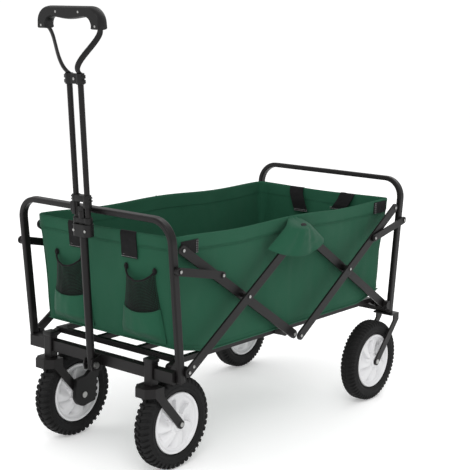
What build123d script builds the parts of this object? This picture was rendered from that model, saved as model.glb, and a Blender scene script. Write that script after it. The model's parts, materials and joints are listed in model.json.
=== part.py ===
# Folding camp wagon: two end frames on wheels, a floor hinged in two halves, four pairs
# of crossed side bars, a fabric tub and a telescoping pull handle. Millimetres, +Z up,
# -Y is the pull end, +X is the wagon's left side. Origin on the ground under the middle.
import os
from math import acos, atan2, cos, degrees, hypot, radians, sin, tan

from build123d import *

os.makedirs("parts", exist_ok=True)

# ---- driving dimensions ----
mid_y = 30.024                 # middle of the wagon body, ahead of which the handle reaches
half_span = 380.0            # frame pivot to the middle of the wagon
pivot_z = 232.0              # height of the lower bar pivots and of the floor hinges
bar_rise = 248.0             # upper bar pivots above the lower ones
folded_gap = 150.0           # distance left between the two frames' pivots when folded
front_y = mid_y - half_span  # lower pivots at the pull end
rear_y = mid_y + half_span   # lower pivots at the back

lean = radians(5.7)          # end frames lean outward
upright_x = 219.0            # centreline of the uprights
upright_back = 14.0          # upright centreline outboard of the lower pivot
tube_w = 12.0                # frame tube, measured in the plane of the frame
tube_d = 18.0                # frame tube, measured fore and aft
tube_wall = 1.2
tube_round = 3.5
frame_top_z = 550.0
frame_foot_z = 211.2
bend_r = 46.0                # centreline radius of the frame's two top bends

beam_z0 = 210.0
beam_z1 = 234.0
beam_y0 = 12.0               # beam's near face, outboard of the lower pivot
beam_y1 = 32.0               # beam's far face, outboard of the lower pivot
ear_r = 11.0                 # ears that carry the lower bar pivots

inner_x0 = 207.0             # inner bars
inner_x1 = 212.0
outer_x0 = 226.0             # outer bars
outer_x1 = 231.0
link_x0 = 232.5              # short links from bar to upright
link_x1 = 236.5
bar_w = 20.0
link_w = 17.0
bar_wall = 1.2
pin_r = 4.0
fit = 0.05                   # radial running clearance
plug_len = 18.0
link_on_bar = 0.25           # link pivot, as a share of the bar from its upper end

rail_x = 178.0               # outer floor rails
inner_rail_x = 60.0          # inner floor rails
rail_w = 12.0
rail_z = 242.0               # centreline of the floor rails
floor_end = 25.0             # cross tube from the lower pivot
centre_cross = 22.0          # cross tube from the middle hinge
board_z0 = 254.0
board_z1 = 258.0

wheel_r = 100.0
rim_r = 66.0
caster_lugs = 44
tyre_half = 19.0
hub_r = 15.0
axle_r = 5.0
caster_x = 151.0
kingpin_back = 27.0          # kingpin outboard of the lower pivot
trail = 64.0
rear_wheel_x = 206.0
rear_axle_in = 57.0          # rear axle inboard of the lower pivot
arm_gap = 23.0               # inside face of a fork arm from the wheel's middle
arm_t = 4.0
arm_w = 19.0
crown_z0 = 190.0
crown_z1 = 195.0
skirt_z0 = 175.0
post_half = 11.0
post_top_z = 252.0
kingpin_r = 6.0

tub_x_foot = 194.0
tub_x_toe = 194.7
tub_x_rim = 201.5
tub_y_foot = 280.0            # flat floor ends here and rises toward the toe
tub_y_toe = 375.0
tub_y_rim = 397.0
tub_z0 = 250.5
tub_z_toe = 272.0
tub_z1 = 500.0
tub_wall = 2.5

handle_y = front_y - 50.0    # handle pivot
handle_z = 214.0
handle_lean = radians(4.0)
single_r = 8.5
twin_r = 6.0
twin_x = 16.0
sleeve_u0 = 304.0
sleeve_u1 = 364.0
collar_u0 = 278.0
clamp_u0 = 602.0
clamp_u1 = 622.0
grip_u0 = 696.0
grip_u1 = 741.0
grip_half = 89.0
grip_d = 26.0

# ---- derived positions ----
upper_z = pivot_z + bar_rise
bar_len = hypot(half_span, bar_rise)
front_bar_mid_y = front_y + half_span / 2
rear_bar_mid_y = rear_y - half_span / 2
bar_mid_z = pivot_z + bar_rise / 2
folded_angle = acos(folded_gap / 2 / bar_len)
link_q_in = half_span * link_on_bar
link_q_z = upper_z - bar_rise * link_on_bar
folded_q_in = folded_gap / 2 * link_on_bar
folded_q_z = pivot_z + bar_len * sin(folded_angle) * (1 - link_on_bar)
# the link keeps one length, so its fixed pivot is as far from one end of the travel as the other
link_rhs = (folded_q_in**2 - link_q_in**2 + folded_q_z**2 - link_q_z**2) / 2
link_dy = folded_q_in - link_q_in
link_dz = folded_q_z - link_q_z
link_p_z = (link_rhs + link_dy * (upright_back - pivot_z * tan(lean))) / (
    link_dz - link_dy * tan(lean)
)
link_p_out = upright_back + (link_p_z - pivot_z) * tan(lean)
kingpin_y = front_y - kingpin_back
caster_axle_y = kingpin_y + trail
rear_axle_y = rear_y - rear_axle_in


def out_y(end, distance):
    """Position outboard of the lower pivots of one end: -1 is the pull end, 1 the back."""
    return mid_y + end * (half_span + distance)


def block(x0, x1, y0, y1, z0, z1, mode=Mode.ADD):
    with Locations(((x0 + x1) / 2, (y0 + y1) / 2, (z0 + z1) / 2)):
        Box(abs(x1 - x0), abs(y1 - y0), abs(z1 - z0), mode=mode)


def rod_x(x0, x1, y, z, r, mode=Mode.ADD):
    with Locations(((x0 + x1) / 2, y, z)):
        Cylinder(r, abs(x1 - x0), rotation=(0, 90, 0), mode=mode)


def rod_z(x, y, z0, z1, r, mode=Mode.ADD):
    with Locations((x, y, (z0 + z1) / 2)):
        Cylinder(r, abs(z1 - z0), mode=mode)


def slot_bar(x0, x1, a, b, width, mode=Mode.ADD):
    """A flat bar with round ends between two (y, z) points, from x0 to x1."""
    with BuildSketch(Plane.YZ.offset(min(x0, x1))) as outline:
        with Locations(((a[0] + b[0]) / 2, (a[1] + b[1]) / 2)):
            SlotCenterToCenter(
                hypot(b[0] - a[0], b[1] - a[1]),
                width,
                rotation=degrees(atan2(b[1] - a[1], b[0] - a[0])),
            )
    extrude(outline.sketch, amount=abs(x1 - x0), mode=mode)


def plate_x(x0, x1, points, mode=Mode.ADD):
    """A plate between x0 and x1 with a (y, z) outline."""
    with BuildSketch(Plane.YZ.offset(min(x0, x1))) as outline:
        Polygon(*points, align=None)
    extrude(outline.sketch, amount=abs(x1 - x0), mode=mode)


def bolt_head(x_face, y, z, side, r=6.5, t=2.5):
    """A low round head standing outward from a face at x_face."""
    rod_x(x_face, x_face + side * t, y, z, r)


def bar_shell(side, x0, x1, a, b):
    """One hollow bar, open inside between its two end plugs."""
    slot_bar(side * x0, side * x1, a, b, bar_w)
    length = hypot(b[0] - a[0], b[1] - a[1])
    cut = plug_len / length
    p = (a[0] + (b[0] - a[0]) * cut, a[1] + (b[1] - a[1]) * cut)
    q = (b[0] - (b[0] - a[0]) * cut, b[1] - (b[1] - a[1]) * cut)
    slot_bar(
        side * (x0 + bar_wall),
        side * (x1 - bar_wall),
        p,
        q,
        bar_w - 2 * bar_wall,
        mode=Mode.SUBTRACT,
    )


def frame_plane(end, out=0.0):
    """Plane of a leaning end frame: local y runs up the uprights from pivot height."""
    return Plane(
        origin=(0, out_y(end, upright_back + out), pivot_z),
        x_dir=(1, 0, 0),
        z_dir=(0, -cos(lean), end * sin(lean)),
    )


def end_frame(end):
    """Inverted U of rectangular tube."""
    plane = frame_plane(end)
    foot = (frame_foot_z - pivot_z) / cos(lean)
    top = (frame_top_z - pivot_z) / cos(lean) - tube_w / 2
    with BuildLine(plane) as path:
        Line((-upright_x, foot), (-upright_x, top - bend_r))
        RadiusArc((-upright_x, top - bend_r), (-upright_x + bend_r, top), bend_r)
        Line((-upright_x + bend_r, top), (upright_x - bend_r, top))
        RadiusArc((upright_x - bend_r, top), (upright_x, top - bend_r), bend_r)
        Line((upright_x, top - bend_r), (upright_x, foot))
    start = path.wire() @ 0
    with BuildSketch(Plane(start, x_dir=(1, 0, 0), z_dir=path.wire() % 0)) as section:
        RectangleRounded(tube_w, tube_d, tube_round)
        RectangleRounded(
            tube_w - 2 * tube_wall,
            tube_d - 2 * tube_wall,
            tube_round - tube_wall,
            mode=Mode.SUBTRACT,
        )
    sweep(section.sketch, path=path.wire())


def save(builder, name):
    builder.part.label = name
    export_step(builder.part, f"parts/{name}.step")


sides = ((1, "left"), (-1, "right"))
ends = ((-1, "front"), (1, "rear"))

# ---- end frames ----
with BuildPart() as front_frame_tube:
    end_frame(-1)
save(front_frame_tube, "front_frame_tube")

with BuildPart() as rear_frame_tube:
    end_frame(1)
save(rear_frame_tube, "rear_frame_tube")


def cross_beam(end):
    """Beam between the uprights, the bar pivot ears behind them and the floor hinge lugs."""
    inner = upright_x - tube_w / 2
    block(-inner, inner, out_y(end, beam_y0), out_y(end, beam_y1), beam_z0, beam_z1)
    block(
        1.5 - inner,
        inner - 1.5,
        out_y(end, beam_y0 + 1.5),
        out_y(end, beam_y1 - 1.5),
        beam_z0 + 1.5,
        beam_z1 - 1.5,
        mode=Mode.SUBTRACT,
    )
    ear_out = upright_back - tube_d / 2 / cos(lean) - ear_r * tan(lean) - 0.1
    for side, _ in sides:
        rod_x(side * inner, side * (inner + tube_w), out_y(end, 0), pivot_z, ear_r)
        block(
            side * inner,
            side * (inner + tube_w),
            out_y(end, 0),
            out_y(end, ear_out),
            pivot_z - ear_r,
            pivot_z + ear_r,
        )
        block(
            side * inner,
            side * (inner + tube_w),
            out_y(end, ear_out),
            out_y(end, ear_r + 1.0),
            pivot_z - ear_r - 1.0,
            pivot_z + ear_r + 1.0,
            mode=Mode.SUBTRACT,
        )
        lug = rail_x + rail_w / 2 + 1.0
        rod_x(side * lug, side * (lug + 4.0), out_y(end, 0), pivot_z, 9.0)
        block(
            side * lug,
            side * (lug + 4.0),
            out_y(end, 0),
            out_y(end, beam_y0),
            pivot_z - 9.0,
            pivot_z + 2.0,
        )
        if end < 0:
            # web that ties the pivot ear to the beam's end
            block(
                side * (inner - 4.0),
                side * inner,
                out_y(end, -4.0),
                out_y(end, beam_y0),
                pivot_z - ear_r,
                pivot_z + 2.0,
            )


with BuildPart() as front_beam:
    cross_beam(-1)
save(front_beam, "front_beam")

with BuildPart() as rear_beam:
    cross_beam(1)
save(rear_beam, "rear_beam")

# ---- caster housings: square posts welded into the front beam ----
post_out = kingpin_back
with BuildPart() as caster_housings:
    for side, _ in sides:
        x = side * caster_x
        post_front = kingpin_y - post_half
        post_rear = kingpin_y + post_half
        with BuildSketch(Plane.XY.offset(crown_z1 + 0.4)) as post:
            with Locations((x, kingpin_y)):
                RectangleRounded(2 * post_half, 2 * post_half, 3.0)
        extrude(post.sketch, amount=post_top_z - crown_z1 - 0.4)
        # clear of the beam, which runs through
        block(
            x - post_half,
            x + post_half,
            out_y(-1, beam_y0),
            out_y(-1, beam_y1),
            beam_z0,
            beam_z1,
            mode=Mode.SUBTRACT,
        )
        rod_z(x, kingpin_y, crown_z1, beam_z0, kingpin_r + fit, mode=Mode.SUBTRACT)
save(caster_housings, "caster_housings")

# ---- pivot studs of the two frames ----
def frame_studs(end):
    for side, _ in sides:
        # upright to link
        y = out_y(end, link_p_out)
        face = upright_x + tube_w / 2
        rod_x(side * face, side * (link_x1 + 0.6), y, link_p_z, pin_r)
        rod_x(side * face, side * (link_x0 - 0.4), y, link_p_z, 8.0)
        bolt_head(side * (link_x1 + 0.5), y, link_p_z, side)
        # lower bar pivot: outside at the pull end, inside at the back
        y = out_y(end, 0)
        if end < 0:
            rod_x(side * face, side * (outer_x1 + 0.6), y, pivot_z, pin_r)
            bolt_head(side * (outer_x1 + 0.5), y, pivot_z, side)
        else:
            inside = upright_x - tube_w / 2
            rod_x(side * inside, side * (inner_x0 - 0.6), y, pivot_z, pin_r)
            bolt_head(side * (inner_x0 - 0.5), y, pivot_z, -side, t=2.0)
        # floor hinge
        lug = rail_x + rail_w / 2 + 1.0
        rod_x(side * (rail_x - rail_w / 2 - 1.5), side * lug, y, pivot_z, pin_r)
        rod_x(
            side * (rail_x - rail_w / 2 - 1.5),
            side * (rail_x - rail_w / 2 - 4.0),
            y,
            pivot_z,
            6.5,
        )


with BuildPart() as front_pivot_bolts:
    frame_studs(-1)
save(front_pivot_bolts, "front_pivot_bolts")

with BuildPart() as rear_pivot_bolts:
    frame_studs(1)
save(rear_pivot_bolts, "rear_pivot_bolts")

# ---- crossed side bars ----
# front outer: lower front pivot to top middle; front inner: upper front to bottom middle
# rear inner: lower rear pivot to top middle; rear outer: upper rear to bottom middle
front_low = (front_y, pivot_z)
front_high = (front_y, upper_z)
mid_low = (mid_y, pivot_z)
mid_high = (mid_y, upper_z)
rear_low = (rear_y, pivot_z)
rear_high = (rear_y, upper_z)
front_cross = (front_bar_mid_y, bar_mid_z)
rear_cross = (rear_bar_mid_y, bar_mid_z)
bar_specs = (
    ("front_outer_bar", outer_x0, outer_x1, front_low, mid_high, (front_low,)),
    ("front_inner_bar", inner_x0, inner_x1, front_high, mid_low, (front_cross,)),
    ("rear_inner_bar", inner_x0, inner_x1, rear_low, mid_high, (rear_low,)),
    ("rear_outer_bar", outer_x0, outer_x1, rear_high, mid_low, (rear_cross,)),
)
for side, side_name in sides:
    for name, x0, x1, a, b, bores in bar_specs:
        with BuildPart() as bar:
            bar_shell(side, x0, x1, a, b)
            for point in bores:
                rod_x(side * x0, side * x1, point[0], point[1], 7.0)
                rod_x(
                    side * (x0 - 1),
                    side * (x1 + 1),
                    point[0],
                    point[1],
                    pin_r + fit,
                    mode=Mode.SUBTRACT,
                )
        save(bar, f"{side_name}_{name}")


def end_rivet(side, x0, x1, point):
    bolt_head(side * x1, point[0], point[1], side, r=5.5, t=2.0)
    bolt_head(side * x0, point[0], point[1], -side, r=5.5, t=1.5)


link_q_front = (front_y + link_q_in, link_q_z)
link_q_rear = (rear_y - link_q_in, link_q_z)
with BuildPart() as front_outer_rivets:
    for side, _ in sides:
        end_rivet(side, outer_x0, outer_x1, mid_high)
        # crossing pin, its spacer and its two heads
        bolt_head(side * outer_x1, front_cross[0], front_cross[1], side, r=6.0, t=2.0)
        rod_x(side * (inner_x1 + 0.4), side * outer_x0, front_cross[0], front_cross[1], 8.0)
        rod_x(side * (inner_x0 - 0.5), side * outer_x0, front_cross[0], front_cross[1], pin_r)
        bolt_head(side * (inner_x0 - 0.4), front_cross[0], front_cross[1], -side, t=2.0)
save(front_outer_rivets, "front_outer_rivets")

with BuildPart() as front_inner_rivets:
    for side, _ in sides:
        end_rivet(side, inner_x0, inner_x1, front_high)
        end_rivet(side, inner_x0, inner_x1, mid_low)
        rod_x(side * inner_x1, side * (link_x0 - 0.6), link_q_front[0], link_q_front[1], 7.0)
save(front_inner_rivets, "front_inner_rivets")

with BuildPart() as rear_inner_rivets:
    for side, _ in sides:
        end_rivet(side, inner_x0, inner_x1, mid_high)
        bolt_head(side * inner_x0, rear_cross[0], rear_cross[1], -side, r=6.0, t=1.5)
        rod_x(side * inner_x1, side * (outer_x0 - 0.4), rear_cross[0], rear_cross[1], 8.0)
        rod_x(side * inner_x1, side * (outer_x1 + 0.5), rear_cross[0], rear_cross[1], pin_r)
        bolt_head(side * (outer_x1 + 0.4), rear_cross[0], rear_cross[1], side, r=6.0, t=2.0)
save(rear_inner_rivets, "rear_inner_rivets")

with BuildPart() as rear_outer_rivets:
    for side, _ in sides:
        end_rivet(side, outer_x0, outer_x1, rear_high)
        end_rivet(side, outer_x0, outer_x1, mid_low)
        bolt_head(side * outer_x1, link_q_rear[0], link_q_rear[1], side, r=6.0, t=1.0)
save(rear_outer_rivets, "rear_outer_rivets")

# ---- short links from the bars to the uprights ----
for end, end_name in ends:
    q = link_q_front if end < 0 else link_q_rear
    p = (out_y(end, link_p_out), link_p_z)
    with BuildPart() as links:
        for side, _ in sides:
            slot_bar(side * link_x0, side * link_x1, p, q, link_w)
            rod_x(
                side * (link_x0 - 1),
                side * (link_x1 + 1),
                p[0],
                p[1],
                pin_r + fit,
                mode=Mode.SUBTRACT,
            )
            bolt_head(side * link_x1, q[0], q[1], side, r=6.0, t=2.2)
    save(links, f"{end_name}_links")


# ---- floor halves ----
def floor_half(end):
    """Rails and cross tubes of one half; the hinge plates reach down to the middle pin."""
    y_cross = out_y(end, -floor_end)
    y_mid = mid_y + end * centre_cross
    r = rail_w / 2
    for x in (-rail_x, -inner_rail_x, inner_rail_x, rail_x):
        block(x - r, x + r, y_cross, y_mid, rail_z - r, rail_z + r)
    for y in (y_cross, y_mid):
        block(-rail_x - r, rail_x + r, y - r, y + r, rail_z - r, rail_z + r)
    for x in (-rail_x, rail_x):
        # ear at the frame pivot
        plate_x(
            x - r,
            x + r,
            (
                (out_y(end, 0), pivot_z - 8.0),
                (out_y(end, 0), pivot_z + 8.0),
                (y_cross, rail_z + r),
                (y_cross, rail_z - r),
            ),
        )
        rod_x(x - r, x + r, out_y(end, 0), pivot_z, 8.0)
        rod_x(x - r - 1, x + r + 1, out_y(end, 0), pivot_z, pin_r + fit, mode=Mode.SUBTRACT)


hinge_t = 3.0
hinge_r = 9.0


def hinge_plate(end, x0, x1):
    plate_x(
        x0,
        x1,
        (
            (mid_y + end * 40.0, rail_z + 6.0),
            (mid_y + end * 40.0, rail_z - 6.0),
            (mid_y, pivot_z - hinge_r),
            (mid_y, pivot_z + hinge_r),
            (mid_y + end * 12.0, rail_z + 6.0),
        ),
    )
    rod_x(x0, x1, mid_y, pivot_z, hinge_r)


rail_out = rail_x + rail_w / 2
rail_in = rail_x - rail_w / 2
with BuildPart() as floor_frame_front:
    floor_half(-1)
    for side, _ in sides:
        hinge_plate(-1, side * rail_out, side * (rail_out + hinge_t))
        rod_x(side * (rail_in - hinge_t - 0.5), side * rail_out, mid_y, pivot_z, pin_r)
        rod_x(
            side * (rail_in - hinge_t - 0.4),
            side * (rail_in - hinge_t - 2.4),
            mid_y,
            pivot_z,
            6.5,
        )
save(floor_frame_front, "floor_frame_front")

with BuildPart() as floor_frame_rear:
    floor_half(1)
    for side, _ in sides:
        hinge_plate(1, side * (rail_in - hinge_t), side * rail_in)
        rod_x(
            side * (rail_in - hinge_t - 1),
            side * (rail_in + 1),
            mid_y,
            pivot_z,
            pin_r + fit,
            mode=Mode.SUBTRACT,
        )
save(floor_frame_rear, "floor_frame_rear")

board_x = 188.0
board_end = 102.0
for end, end_name in ends:
    with BuildPart() as floor_board:
        block(
            -board_x,
            board_x,
            out_y(end, -board_end),
            mid_y + end * 1.5,
            board_z0,
            board_z1,
        )
        corner = floor_board.edges().filter_by(Axis.Z)
        fillet(corner, 6.0)
    save(floor_board, f"{end_name}_floor_board")


# ---- wheels ----
def rim(x, y, outer_side):
    """Dished rim with seven swept petals on its outer face."""
    with BuildSketch(Plane.YZ.offset(x - 15.0)) as disc:
        with Locations((y, wheel_r)):
            Circle(rim_r)
            Circle(axle_r + fit, mode=Mode.SUBTRACT)
    extrude(disc.sketch, amount=30.0)
    dish = 8.0
    for face in (-1, 1):
        with BuildSketch(Plane.YZ.offset(x + face * 15.0)) as hollow:
            with Locations((y, wheel_r)):
                Circle(rim_r - 7.0)
                Circle(hub_r, mode=Mode.SUBTRACT)
        extrude(hollow.sketch, amount=-face * dish, mode=Mode.SUBTRACT)
    with BuildSketch(Plane.YZ.offset(x + outer_side * 7.0)) as petals:
        with Locations((y, wheel_r)):
            with PolarLocations(0, 7):
                with Locations((38.0, 0)):
                    Ellipse(22.5, 7.5, rotation=14)
    extrude(petals.sketch, amount=outer_side * 6.0)


def tyre(x, y, block_count, groove):
    """Round-shouldered tyre with tread blocks."""
    inner = rim_r
    shoulder = wheel_r - 9.0
    with BuildSketch(Plane.XY) as section:
        with BuildLine():
            Polyline(
                (x - 15.0, inner),
                (x - tyre_half, inner + 9.0),
                (x - tyre_half, shoulder),
                (x - tyre_half + 5.0, wheel_r - 2.0),
                (x - 6.0, wheel_r),
                (x + 6.0, wheel_r),
                (x + tyre_half - 5.0, wheel_r - 2.0),
                (x + tyre_half, shoulder),
                (x + tyre_half, inner + 9.0),
                (x + 15.0, inner),
                close=True,
            )
        make_face()
    with BuildPart() as ring:
        revolve(section.sketch, axis=Axis.X, revolution_arc=360)
        with BuildSketch(Plane.YZ.offset(x)) as notch:
            with PolarLocations(wheel_r + 1.0, block_count):
                Rectangle(2 * groove + 2.0, pi_share(block_count))
        if groove:
            extrude(notch.sketch, amount=tyre_half + 1, both=True, mode=Mode.SUBTRACT)
            with BuildSketch(Plane.XY) as core:
                with Locations((x, (inner + wheel_r - groove) / 2)):
                    Rectangle(13.0, wheel_r - groove - inner)
            revolve(core.sketch, axis=Axis.X, revolution_arc=360)
    return Pos(0, y, wheel_r) * ring.part


def pi_share(count):
    return 0.32 * 2 * 3.14159 * wheel_r / count


def fork_arm(x0, x1, top_front, top_rear, top_z, low_z, axle_y):
    """Flat fork arm from its crown to a round end at the axle."""
    angle = atan2(crown_z0 - wheel_r, (top_front + top_rear) / 2 - axle_y)
    nx = -sin(angle) * (arm_w / 2 - 0.4)
    nz = cos(angle) * (arm_w / 2 - 0.4)
    with BuildSketch(Plane.YZ.offset(x0)) as outline:
        Polygon(
            (top_front, top_z),
            (top_rear, top_z),
            (top_rear, low_z),
            (axle_y - nx, wheel_r - nz),
            (axle_y + nx, wheel_r + nz),
            (top_front, low_z),
            align=None,
        )
        with Locations((axle_y, wheel_r)):
            Circle(arm_w / 2)
            Circle(axle_r, mode=Mode.SUBTRACT)
    extrude(outline.sketch, amount=x1 - x0)


caster_half = arm_gap + arm_t
nose = 33.0
crown_rear = post_half
for side, side_name in sides:
    x = side * caster_x
    with BuildPart() as fork:
        with BuildSketch(Plane.XY.offset(skirt_z0)) as crown:
            with Locations((x, kingpin_y)):
                Polygon(
                    (-caster_half, crown_rear),
                    (-caster_half, -nose + 18.0),
                    (-13.0, -nose),
                    (13.0, -nose),
                    (caster_half, -nose + 18.0),
                    (caster_half, crown_rear),
                    align=None,
                )
        extrude(crown.sketch, amount=crown_z1 - skirt_z0)
        with BuildSketch(Plane.XY.offset(skirt_z0)) as under:
            with Locations((x, kingpin_y)):
                Polygon(
                    (-arm_gap, crown_rear + 1),
                    (-arm_gap, -nose + 19.5),
                    (-11.5, -nose + 4.0),
                    (11.5, -nose + 4.0),
                    (arm_gap, -nose + 19.5),
                    (arm_gap, crown_rear + 1),
                    align=None,
                )
        extrude(under.sketch, amount=crown_z0 - skirt_z0, mode=Mode.SUBTRACT)
        for face in (-1, 1):
            fork_arm(
                min(x + face * arm_gap, x + face * caster_half),
                max(x + face * arm_gap, x + face * caster_half),
                kingpin_y - 14.0,
                kingpin_y + crown_rear,
                crown_z1 - 1.0,
                skirt_z0,
                caster_axle_y,
            )
        rod_z(x, kingpin_y, crown_z0 - 1, crown_z1 + 1, kingpin_r, mode=Mode.SUBTRACT)
    save(fork, f"{side_name}_caster_fork")

    with BuildPart() as hardware:
        rod_z(x, kingpin_y, crown_z0, beam_z0 - 2.0, kingpin_r)
        rod_z(x, kingpin_y, crown_z0 - 1.5, crown_z0, 9.0)
        rod_x(x - caster_half, x + caster_half, caster_axle_y, wheel_r, axle_r)
        for face in (-1, 1):
            bolt_head(x + face * caster_half, caster_axle_y, wheel_r, face, r=5.0, t=11.5 if face != side else 2.5)
            rod_x(
                x + face * 15.2,
                x + face * arm_gap,
                caster_axle_y,
                wheel_r,
                8.0,
            )
        rod_x(
            x - side * (caster_half + 11.4),
            x - side * (caster_half + 13.0),
            caster_axle_y,
            wheel_r,
            7.0,
        )
    save(hardware, f"{side_name}_caster_hardware")

    with BuildPart() as caster_rim:
        rim(x, caster_axle_y, side)
    save(caster_rim, f"{side_name}_caster_rim")

    with BuildPart() as caster_tyre:
        add(tyre(x, caster_axle_y, caster_lugs, 3.5))
    save(caster_tyre, f"{side_name}_caster_tyre")

    # foot brake on the inner fork arm: a housing round the axle and a toothed pedal
    bx0 = x - side * (caster_half + 0.4)
    bx1 = x - side * (caster_half + 11.0)
    with BuildPart() as brake_lever:
        rod_x(bx0, bx1, caster_axle_y, wheel_r, 26.0)
        plate_x(
            min(bx0, bx1),
            max(bx0, bx1),
            (
                (caster_axle_y - 22.0, wheel_r + 38.0),
                (caster_axle_y + 40.0, wheel_r + 46.0),
                (caster_axle_y + 34.0, wheel_r - 20.0),
                (caster_axle_y, wheel_r - 26.0),
                (caster_axle_y - 26.0, wheel_r),
            ),
        )
        plate_x(
            min(bx0, bx1),
            max(bx0, bx1),
            (
                (caster_axle_y + 4.0, wheel_r + 40.0),
                (caster_axle_y + 40.0, wheel_r + 66.0),
                (caster_axle_y + 70.0, wheel_r + 78.0),
                (caster_axle_y + 74.0, wheel_r + 66.0),
                (caster_axle_y + 46.0, wheel_r + 44.0),
                (caster_axle_y + 30.0, wheel_r + 20.0),
            ),
        )
        for i in range(4):
            rod_x(bx0, bx1, caster_axle_y + 38.5 - i * 1.4, wheel_r + 36.0 - i * 15.0, 5.0)
        rod_x(bx0, bx1, caster_axle_y, wheel_r, axle_r + fit, mode=Mode.SUBTRACT)
    save(brake_lever, f"{side_name}_brake_lever")

# ---- fixed rear wheels ----
with BuildPart() as rear_forks:
    for side, _ in sides:
        x = side * rear_wheel_x
        crown_in = rear_y + 2.0
        crown_out = rear_y + beam_y1 + 4.0
        block(
            x - caster_half,
            x + caster_half,
            crown_in,
            crown_out,
            beam_z0 - 4.4,
            beam_z0 - 0.4,
        )
        for face in (-1, 1):
            x0 = min(x + face * arm_gap, x + face * caster_half)
            fork_arm(
                x0,
                x0 + arm_t,
                crown_in + 12.0,
                crown_out,
                beam_z0 - 1.0,
                beam_z0 - 18.0,
                rear_axle_y,
            )
save(rear_forks, "rear_forks")

with BuildPart() as rear_axles:
    for side, _ in sides:
        x = side * rear_wheel_x
        rod_x(x - caster_half, x + caster_half, rear_axle_y, wheel_r, axle_r)
        for face in (-1, 1):
            bolt_head(x + face * caster_half, rear_axle_y, wheel_r, face, r=6.0, t=1.6)
            rod_x(x + face * 15.2, x + face * arm_gap, rear_axle_y, wheel_r, 8.0)
save(rear_axles, "rear_axles")

for side, side_name in sides:
    x = side * rear_wheel_x
    with BuildPart() as rear_rim:
        rim(x, rear_axle_y, side)
    save(rear_rim, f"{side_name}_rear_rim")
    with BuildPart() as rear_tyre:
        add(tyre(x, rear_axle_y, 1, 0))
    save(rear_tyre, f"{side_name}_rear_tyre")

# ---- pull handle ----
with BuildPart() as handle_bracket:
    cheek = single_r + 1.0
    face_y = out_y(-1, beam_y1)
    block(-cheek - 3.0, cheek + 3.0, face_y, face_y - 2.0, 200.0, 233.0)
    for side, _ in sides:
        plate_x(
            side * cheek,
            side * (cheek + 3.0),
            (
                (face_y, 200.0),
                (face_y, 233.0),
                (handle_y - 9.0, handle_z + 12.0),
                (handle_y - 12.0, handle_z),
                (handle_y - 9.0, handle_z - 12.0),
            ),
        )
    rod_x(-cheek - 4.0, cheek + 4.0, handle_y, handle_z, pin_r + fit, mode=Mode.SUBTRACT)
save(handle_bracket, "handle_bracket")

with BuildPart() as handle_pivot_bolt:
    reach = cheek + 3.0
    rod_x(-reach - 1.0, reach + 1.0, handle_y, handle_z, pin_r)
    bolt_head(reach + 0.4, handle_y, handle_z, 1, r=7.0, t=4.5)
    bolt_head(-reach - 0.4, handle_y, handle_z, -1, r=7.0, t=4.5)
save(handle_pivot_bolt, "handle_pivot_bolt")

handle_plane = Plane(
    origin=(0, handle_y, handle_z),
    x_dir=(1, 0, 0),
    z_dir=(0, -sin(handle_lean), cos(handle_lean)),
)


def along(height):
    """Plane across the handle at a height measured along it."""
    return handle_plane.offset(height)


def lift(sketch_builder, amount, mode=Mode.ADD):
    extrude(sketch_builder.sketch, amount=amount, mode=mode)


with BuildPart() as handle_lower_tube:
    with BuildSketch(along(-11.0)) as tube:
        Circle(single_r)
    lift(tube, sleeve_u0 + 26.0 + 11.0)
    with BuildSketch(along(14.0)) as bore:
        Circle(single_r - 1.2)
    lift(bore, sleeve_u0 + 13.0, mode=Mode.SUBTRACT)
    rod_x(-20, 20, handle_y, handle_z, pin_r + fit, mode=Mode.SUBTRACT)
save(handle_lower_tube, "handle_lower_tube")

sleeve_half = 23.5
with BuildPart() as latch_sleeve:
    with BuildSketch(along(sleeve_u0)) as body:
        SlotOverall(2 * sleeve_half, 24.0)
    lift(body, sleeve_u1 - sleeve_u0)
    with BuildSketch(along(sleeve_u0 + 18.0)) as boss:
        with Locations((-sleeve_half + 2.5, 0)):
            RectangleRounded(12.0, 18.0, 2.0)
    lift(boss, 30.0)
    with BuildSketch(along(sleeve_u0)) as bores:
        with Locations((-twin_x, 0), (twin_x, 0)):
            Circle(twin_r + fit)
    lift(bores, sleeve_u1 - sleeve_u0, mode=Mode.SUBTRACT)
    with BuildSketch(along(sleeve_u0)) as socket:
        Circle(single_r)
    lift(socket, 26.0, mode=Mode.SUBTRACT)
    with BuildSketch(along(sleeve_u0 + 22.0)) as pocket:
        with Locations((-sleeve_half - 2.0, 0)):
            Rectangle(5.0, 12.0)
    lift(pocket, 22.0, mode=Mode.SUBTRACT)
save(latch_sleeve, "latch_sleeve")

with BuildPart() as release_button:
    with BuildSketch(along(sleeve_u0 + 22.2)) as pad:
        with Locations((-sleeve_half - 3.7, 0)):
            Rectangle(3.6, 11.6)
    lift(pad, 21.6)
    for i in range(4):
        with BuildSketch(along(sleeve_u0 + 24.0 + i * 5.0)) as rib:
            with Locations((-sleeve_half - 5.6, 0)):
                Rectangle(1.2, 10.0)
        lift(rib, 2.4)
save(release_button, "release_button")


def handle_leg(side):
    """One leg: straight through the sleeve, then flaring out to the grip."""
    bend_u = clamp_u0 + 8.0
    with BuildLine(
        Plane(
            origin=handle_plane.origin,
            x_dir=(1, 0, 0),
            z_dir=-handle_plane.y_dir,
        )
    ) as path:
        Line((side * twin_x, collar_u0 + 3.0), (side * twin_x, bend_u))
        Spline(
            (side * twin_x, bend_u),
            (side * 50.0, grip_u0 - 34.0),
            (side * 74.0, grip_u0 + 6.0),
            tangents=((0, 1), (side * 0.35, 1)),
        )
    with BuildSketch(along(collar_u0 + 3.0)) as section:
        with Locations((side * twin_x, 0)):
            Circle(twin_r)
            Circle(twin_r - 1.1, mode=Mode.SUBTRACT)
    sweep(section.sketch, path=path.wire())


with BuildPart() as handle_legs:
    for side, _ in sides:
        handle_leg(side)
save(handle_legs, "handle_legs")

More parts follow.
